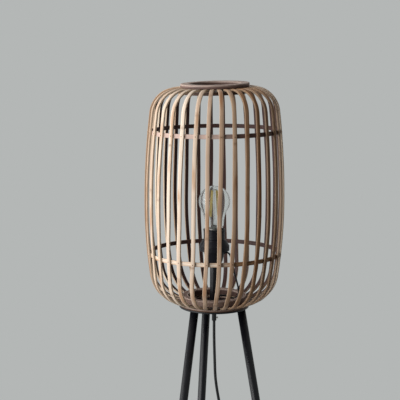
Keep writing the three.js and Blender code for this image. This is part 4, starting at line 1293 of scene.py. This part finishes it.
def make_filament(index, degrees):
    """A yellow stick, and the routes of the wires that hold its two ends."""
    out = around(math.radians(degrees))
    high = AXIS + out * FILAMENT_TOP_RADIUS + Vector((0, 0, FILAMENT_TOP))
    low = AXIS + out * FILAMENT_BOTTOM_RADIUS + Vector((0, 0, FILAMENT_BOTTOM))
    run = (high - low).normalized()
    end = (high - low).length - STICK_END
    stick = rounded([
        (0, STICK_END, 0), (STICK_RADIUS, STICK_END, STICK_ROUNDING), (STICK_RADIUS, end, STICK_ROUNDING),
        (0, end, 0),
    ])
    made = turned(f"bulb_filament_stick_{index + 1}", stick, 24, ORIGIN)
    upright = Vector((0, 0, 1)).rotation_difference(run).to_matrix().to_4x4()
    made.data.transform(Matrix.Translation(low) @ upright)
    dress(made, "filament", "filament", "bulb", "bulb_filament")
    lower = wire_start(out, MOUNT_PRESS, LOWER_WIRE)
    lower += [low - run * WIRE_DROP - out * WIRE_INSET, low + run * WIRE_LAP]
    upper = wire_start(out, FILAMENT_TOP, UPPER_WIRE) + [high + run * WIRE_RISE, high - run * WIRE_LAP]
    return lower, upper


def make_mount():
    """Glass foot and rod, four yellow filament sticks and the wires on them."""
    outline = rounded(raised(MOUNT_FLARE, MOUNT_FOOT) + raised(MOUNT_ROD, FILAMENT_TOP), 5)
    dress(turned("bulb_mount_glass", outline, 48, sharp=60), "glass", "filament", "bulb", "bulb_filament")
    wires = bmesh.new()
    for index, degrees in enumerate(FILAMENT_DEGREES):
        for line in make_filament(index, degrees):
            piece = along_line("wire", smooth_route(line, 6), WIRE_RADIUS, 8)
            wires.from_mesh(piece.data)
            bpy.data.objects.remove(piece)
    made = from_bmesh("bulb_mount_wires", wires)
    made.data.shade_smooth()
    dress(made, "cap", "filament", "bulb", "bulb_filament")


make_bulb()
make_mount()

# Cord grip, and the lead inside the cage
GRIP_BORE = CORD_RADIUS + 0.0001
GRIP_LEAD_BORE = LEAD_RADIUS + 0.0001
GRIP_UNDER = [                   # (radius, height, rounding) from the plate's underside
    (GRIP_BORE, -0.018, 0), (GRIP_BORE, -0.024, 0.0004), (0.0044, -0.024, 0.0008), (0.0044, -0.002, 0),
    (0.0056, -0.002, 0.0004), (0.0056, 0, 0), (0.0036, 0, 0),
]
GRIP_ABOVE = [(0.0036, 0.002, 0.0005), (GRIP_LEAD_BORE, 0.002, 0.0003), (GRIP_LEAD_BORE, 0, 0)]
GRIP_SCREW_DROP = 0.0185
GRIP_SCREW = [                   # (radius, distance from the grip's middle)
    (0, 0.001), (0.0012, 0.001), (0.0012, 0.0052), (0.0017, 0.0052), (0.0019, 0.0055), (0.0019, 0.0068),
    (0.0016, 0.0071), (0, 0.0071),
]
SCREW_LIP_DISTANCE = 0.00735     # the two lips beside the screw's slot
SCREW_LIP_OFFSET = 0.0009
SCREW_LIP_SIZE = (0.0005, 0.0024, 0.001)


def make_grip():
    """The cord's grip under the plate, with the slotted screw that clamps the cord."""
    centre = AXIS - Vector((0, GRIP_DISTANCE, 0))
    outline = rounded(raised(GRIP_UNDER, GRIP_TOP) + raised(GRIP_ABOVE, PLATE_TOP))
    dress(turned("cord_grip_body", outline, 48, centre), "fitting", "steel", "stand", "cord_grip")
    screw = turned("cord_grip_screw", GRIP_SCREW, 32, ORIGIN)
    spot = centre + Vector((0, 0, GRIP_TOP - GRIP_SCREW_DROP))
    screw.data.transform(onto_x(spot))
    dress(screw, "cap", "steel", "stand", "cord_grip")
    work = bmesh.new()
    for side in (-1, 1):
        lip = Matrix.Translation(spot + Vector((SCREW_LIP_DISTANCE, 0, side * SCREW_LIP_OFFSET)))
        bmesh.ops.create_cube(work, size=1, matrix=lip @ Matrix.Diagonal((*SCREW_LIP_SIZE, 1)))
    dress(from_bmesh("cord_grip_screw_slot", work), "cap", "steel", "stand", "cord_grip")


make_grip()

lead_points = [Vector((HOLDER_RADIUS + x, y, LEAD_HOLE + z)) + AXIS for x, y, z in HOLDER_LEAD_POINTS]
lead_points += [Vector((x, y - GRIP_DISTANCE, PLATE_TOP + z)) + AXIS for x, y, z in GRIP_LEAD_POINTS]
lead_route = smooth_route(lead_points, 8)
lead = cord_curve("inner_lead_cable", lead_route, LEAD_RADIUS)
dress(lead, "cord", "cord", "stand", "inner_lead")

# Foot switch
SWITCH_LENGTH = 0.06
SWITCH_WIDTH = 0.037
SWITCH_EDGE = 0.003
SWITCH_POINTS = 64
SWITCH_SEAM = ((0, 0.007), (0.0004, 0.0072), (0.0004, 0.0078), (0, 0.008))  # (inset, height)
SWITCH_WELL = (                  # (radius past the button's, height past the case's)
    (0.0016, 0), (0.0014, 0.0006), (0.0005, 0.0007), (GAP, 0.0004), (GAP, -0.0078),
)
BUTTON_DOME = 0.0004
BUTTON_CORNERS = [               # (radius, height, rounding) from the button's top
    (0, -0.01, 0), (0.0116, -0.01, 0), (BUTTON_RADIUS, -0.0096, 0), (BUTTON_RADIUS, -BUTTON_DOME, 0.0014),
    (0, 0, 0),
]
BUTTON_GROOVES = (0.0088, 0.0066, 0.0044)
BUTTON_GROOVE = ((0.0005, 0), (0.0002, -0.00035), (-0.0002, -0.00035), (-0.0005, 0))
BOOT_ROOT = 0.0054
BOOT_TIP = CORD_RADIUS + 0.0008
BOOT_FIRST_RING_SHARE = 0.7      # of the rings' spacing
BOOT_RING = ((0, 0), (-0.0007, 0.0004), (-0.0007, 0.0012), (0, 0.0016))
BOOT_END = ((0.0036, -0.0004), (0.0031, 0.0006), (0, 0.0006))
SWITCH_BOOT_LENGTH = 0.0205
SWITCH_BOOT_PLACE = 0.0295


def oval(inset):
    """(x, y) points of the switch's round-ended oval, from +X round."""
    radius = (SWITCH_WIDTH - 2 * inset) / 2
    half = (SWITCH_LENGTH - 2 * inset) / 2 - radius
    points = []
    for i in range(SWITCH_POINTS):
        angle = 2 * math.pi * (i + 0.5) / SWITCH_POINTS
        shift = half if math.cos(angle) > 0 else -half
        points.append((shift + radius * math.cos(angle), radius * math.sin(angle)))
    return points


def boot_outline(length, rings):
    """A tapered strain relief along +Z with rings cut into it, from its root to its tip."""
    outline = [(0, 0), (BOOT_ROOT, 0)]
    for i in range(rings):
        at = length * (i + BOOT_FIRST_RING_SHARE) / (rings + 1)
        full = BOOT_ROOT + (BOOT_TIP - BOOT_ROOT) * at / length
        outline += [(full + change, at + height) for change, height in BOOT_RING]
    return outline + [(r, length + height) for r, height in BOOT_END]


def make_switch_case():
    """A low two-part case with a round well for its button."""
    high = FLOOR_GAP + SWITCH_HEIGHT
    lower, upper = rounded_wall(SWITCH_EDGE, FLOOR_GAP, high, 4)
    wall = lower + [(inset, FLOOR_GAP + height) for inset, height in SWITCH_SEAM] + upper
    rings = [[SWITCH_PLACE + Vector((x, y, z)) for x, y in oval(inset)] for inset, z in wall]
    angles = [2 * math.pi * (i + 0.5) / SWITCH_POINTS for i in range(SWITCH_POINTS)]
    for past, height in SWITCH_WELL:
        rings.append([SWITCH_PLACE + around(angle, BUTTON_RADIUS + past, high + height) for angle in angles])
    case = tidy_mesh(surface("foot_switch_case", rings), 30)
    return dress(case, "fitting", "fitting", "stand", "foot_switch")


def make_switch_boot(side):
    boot = turned(f"foot_switch_boot_{(3 + side) // 2}", boot_outline(SWITCH_BOOT_LENGTH, 5), 32, ORIGIN)
    spot = SWITCH_PLACE + Vector((side * SWITCH_BOOT_PLACE, 0, SWITCH_CORD_HEIGHT))
    boot.data.transform(Matrix.Translation(spot) @ Matrix.Rotation(side * math.pi / 2, 4, "Y"))
    return dress(boot, "fitting", "fitting", "stand", "foot_switch")


def make_switch_button():
    """A low domed button with three ring grooves."""
    outline = rounded(raised(BUTTON_CORNERS, BUTTON_TOP))[:-1]
    for r in BUTTON_GROOVES:
        z = BUTTON_TOP - BUTTON_DOME * r / BUTTON_RADIUS
        outline += [(r + aside, z + height) for aside, height in BUTTON_GROOVE]
    button = turned("foot_switch_button_cap", outline + [(0, BUTTON_TOP)], 64, SWITCH_PLACE)
    return dress(button, "button", "button", "switch_button", "foot_switch_button")


switch_parts = (make_switch_case(), make_switch_boot(-1), make_switch_boot(1), make_switch_button())

# Plug
PLUG_BACK = 0.024                # from the cord's end to the body's back
PLUG_CORNERS = [                 # (x, y, rounding)
    (0, -0.0065, 0.001), (0.022, -0.01765, 0.004), (0.034, -0.01765, 0.0022), (0.034, 0.01765, 0.0022),
    (0.022, 0.01765, 0.004), (0, 0.0065, 0.001),
]
PLUG_EDGE = 0.0022
PLUG_BOOT_LENGTH = 0.0248
PLUG_BOOT_DEPTH = 0.0008
PIN_ROOT = 0.033
PIN_HALF_SPACING = 0.0093
PIN_SLEEVE = [(0, 0, 0), (0.0019, 0, 0), (0.0019, 0.011, 0.0002), (0, 0.011, 0)]
PIN_BARE = [(0, 0.01, 0), (0.002, 0.0108, 0.0001), (0.002, 0.02, 0.0012), (0, 0.02, 0)]


def inset_line(points, inset):
    """A closed (x, y) line moved inwards; it runs anticlockwise."""
    moved = []
    for i, (x, y) in enumerate(points):
        before = Vector((x - points[i - 1][0], y - points[i - 1][1])).normalized()
        after_point = points[(i + 1) % len(points)]
        after = Vector((after_point[0] - x, after_point[1] - y)).normalized()
        inward = (Vector((-before.y, before.x)) + Vector((-after.y, after.x))).normalized()
        moved.append((x + inward.x * inset, y + inward.y * inset))
    return moved


def make_plug():
    """A flat two-pin plug with a ringed boot; it lies on the floor with its pins to +X."""
    start = tail_route[-1] + Vector((GAP + PLUG_BACK, 0, 0))
    outline = rounded(PLUG_CORNERS, 5)
    half = PLUG_THICKNESS / 2
    lower, upper = rounded_wall(PLUG_EDGE, -half, half, 5)
    wall = lower + [(0, 0)] + upper
    rings = [[start + Vector((x, y, z)) for x, y in inset_line(outline, inset)] for inset, z in wall]
    body = tidy_mesh(surface("plug_body", rings), 40)
    boot = turned("plug_boot", boot_outline(PLUG_BOOT_LENGTH, 6), 32, ORIGIN)
    boot_spot = Matrix.Translation(start + Vector((PLUG_BOOT_DEPTH, 0, 0)))
    boot.data.transform(boot_spot @ Matrix.Rotation(-math.pi / 2, 4, "Y"))
    pieces = [dress(piece, "fitting", "fitting", "stand", "plug") for piece in (body, boot)]
    for number, side in enumerate((-1, 1)):
        root = start + Vector((PIN_ROOT, side * PIN_HALF_SPACING, 0))
        for kind, line, material in (("sleeve", PIN_SLEEVE, "fitting"), ("pin", PIN_BARE, "cap")):
            made = turned(f"plug_{kind}_{number + 1}", rounded(line), 24, ORIGIN)
            made.data.transform(onto_x(root))
            pieces.append(dress(made, material, "fitting", "stand", "plug"))
    return [piece.name for piece in pieces]


plug_pieces = make_plug()

# Tie
TIE_ANGLE = math.radians(62)
TIE_HALF_WIDTH = 0.004
TIE_THICKNESS = 0.0007
TIE_FLOOR_THICKNESS = 0.0002
TIE_INWARDS = 0.0225             # reach from the outermost turn, inwards and outwards
TIE_OUTWARDS = 0.0042
TIE_ROUNDING = 0.0022


def make_tie():
    """A soft strap round the coil's turns; it is thinner under them than over them."""
    middle = coil_middle(link_route[-1])
    out = around(TIE_ANGLE)
    aside = crosswise(out)
    high = FLOOR_GAP + 2 * CORD_RADIUS + COIL_PITCH + TIE_THICKNESS
    inner, outer = COIL_OUTER - TIE_INWARDS, COIL_OUTER + TIE_OUTWARDS
    loop = box_outline(inner, outer, 0.0, high, TIE_ROUNDING)
    rings = []
    for offset, thin in ((-1, 1), (1, 1), (1, 0), (-1, 0)):
        ring = []
        for r, z in loop:
            inward_r = TIE_THICKNESS * (1 if r < (inner + outer) / 2 else -1) * thin
            inward_z = TIE_FLOOR_THICKNESS * (1 if z < high / 2 else -3) * thin
            up = Vector((0, 0, z + inward_z))
            ring.append(middle + out * (r + inward_r) + aside * (offset * TIE_HALF_WIDTH) + up)
        rings.append(ring)
    made = tidy_mesh(surface("coil_tie", rings, closed=True), 30)
    return dress(made, "rubber", "cord", "stand").name


tie_name = make_tie()

# Floor, background and lamps
FLOOR_REACH = 9.0
FLOOR_FADE = (0.7, 1.65)         # distances from the middle between which the floor fades away
FLOOR_COLOUR = srgb(146, 148, 147)
FLOOR_BOUNCE_COLOUR = srgb(120, 121, 120)
FLOOR_GLOW_SHARE = 0.55
BACKDROP_COLOUR = srgb(180, 183, 182)
SKY_COLOUR = (0.94, 0.97, 1, 1)
SKY_STRENGTH = 0.05


def seen_directly(tree):
    """One for the rays of the camera and of what mirrors or glass show, else nought."""
    path = add(tree, "LightPath").outputs
    seen = math_of(tree, "MAXIMUM", path["Is Camera Ray"], path["Is Transmission Ray"])
    return math_of(tree, "MAXIMUM", seen, path["Is Glossy Ray"])


def floor_material():
    """
    A pale grey that fades away from the lamp, throws little light back and is clear from below. Part of
    what the camera sees of it is the backdrop's own grey, so that it stays even.
    """
    made, tree, shader = new_material("floor", Roughness=0.9, Emission_Color=BACKDROP_COLOUR)
    seen = seen_directly(tree)
    tree.links.new(mixed(tree, seen, FLOOR_BOUNCE_COLOUR, FLOOR_COLOUR), shader.inputs["Base Color"])
    tree.links.new(math_of(tree, "MULTIPLY", seen, FLOOR_GLOW_SHARE), shader.inputs["Emission Strength"])
    distance = add(tree, "VectorMath", {"operation": "LENGTH"}, at_0=object_place(tree)).outputs["Value"]
    ends = {"From_Min": FLOOR_FADE[0], "From_Max": FLOOR_FADE[1]}
    fade = add(tree, "MapRange", {"interpolation_type": "SMOOTHSTEP"}, Value=distance, **ends)
    below = add(tree, "NewGeometry").outputs["Backfacing"]
    gone = math_of(tree, "MAXIMUM", fade.outputs[0], below)
    clear = add(tree, "BsdfTransparent").outputs[0]
    mix = add(tree, "MixShader", Fac=gone, at_1=shader.outputs[0], at_2=clear)
    tree.links.new(mix.outputs[0], tree.nodes["Material Output"].inputs["Surface"])
    return made


def make_floor():
    mesh = bpy.data.meshes.new("floor")
    corners = [(-1, -1), (1, -1), (1, 1), (-1, 1)]
    mesh.from_pydata([(x * FLOOR_REACH, y * FLOOR_REACH, 0) for x, y in corners], [], [(0, 1, 2, 3)])
    floor = new_object("floor", mesh)
    mesh.materials.append(floor_material())


def make_world():
    """Soft light from all round; the camera, mirrors and glass see a plain pale grey instead."""
    world = bpy.data.worlds.new("studio")
    bpy.context.scene.world = world
    world.use_nodes = True
    tree = world.node_tree
    tree.nodes.clear()
    seen = seen_directly(tree)
    light = add(tree, "Background", Color=SKY_COLOUR, Strength=SKY_STRENGTH).outputs[0]
    backdrop = add(tree, "Background", Color=BACKDROP_COLOUR, Strength=1.0).outputs[0]
    mix = add(tree, "MixShader", Fac=seen, at_1=light, at_2=backdrop)
    tree.links.new(mix.outputs[0], add(tree, "OutputWorld").inputs["Surface"])


def soft_box(name, place, aim_height, size, power, mirrored=True):
    """A large soft lamp aimed at the lamp's middle, which isn't seen through the bulb's glass."""
    data = bpy.data.lights.new(name, "AREA")
    data.shape = "RECTANGLE"
    data.size, data.size_y = size
    data.energy = power
    light = new_object(name, data)
    light.visible_transmission = False
    light.visible_glossy = mirrored
    light.location = place
    light.rotation_euler = (Vector((0, 0, aim_height)) - Vector(place)).to_track_quat("-Z", "Y").to_euler()


make_floor()
make_world()
soft_box("side_light", (-2.4, 0.25, 1.5), 0.95, (2.2, 2.6), 40)
soft_box("front_light", (-2.2, -1.5, 1.6), 0.95, (2.3, 2.9), 98)
soft_box("back_light", (1, 2.6, 1.9), 0.8, (3, 2.4), 72, mirrored=False)

bpy.context.scene.view_settings.view_transform = "Standard"
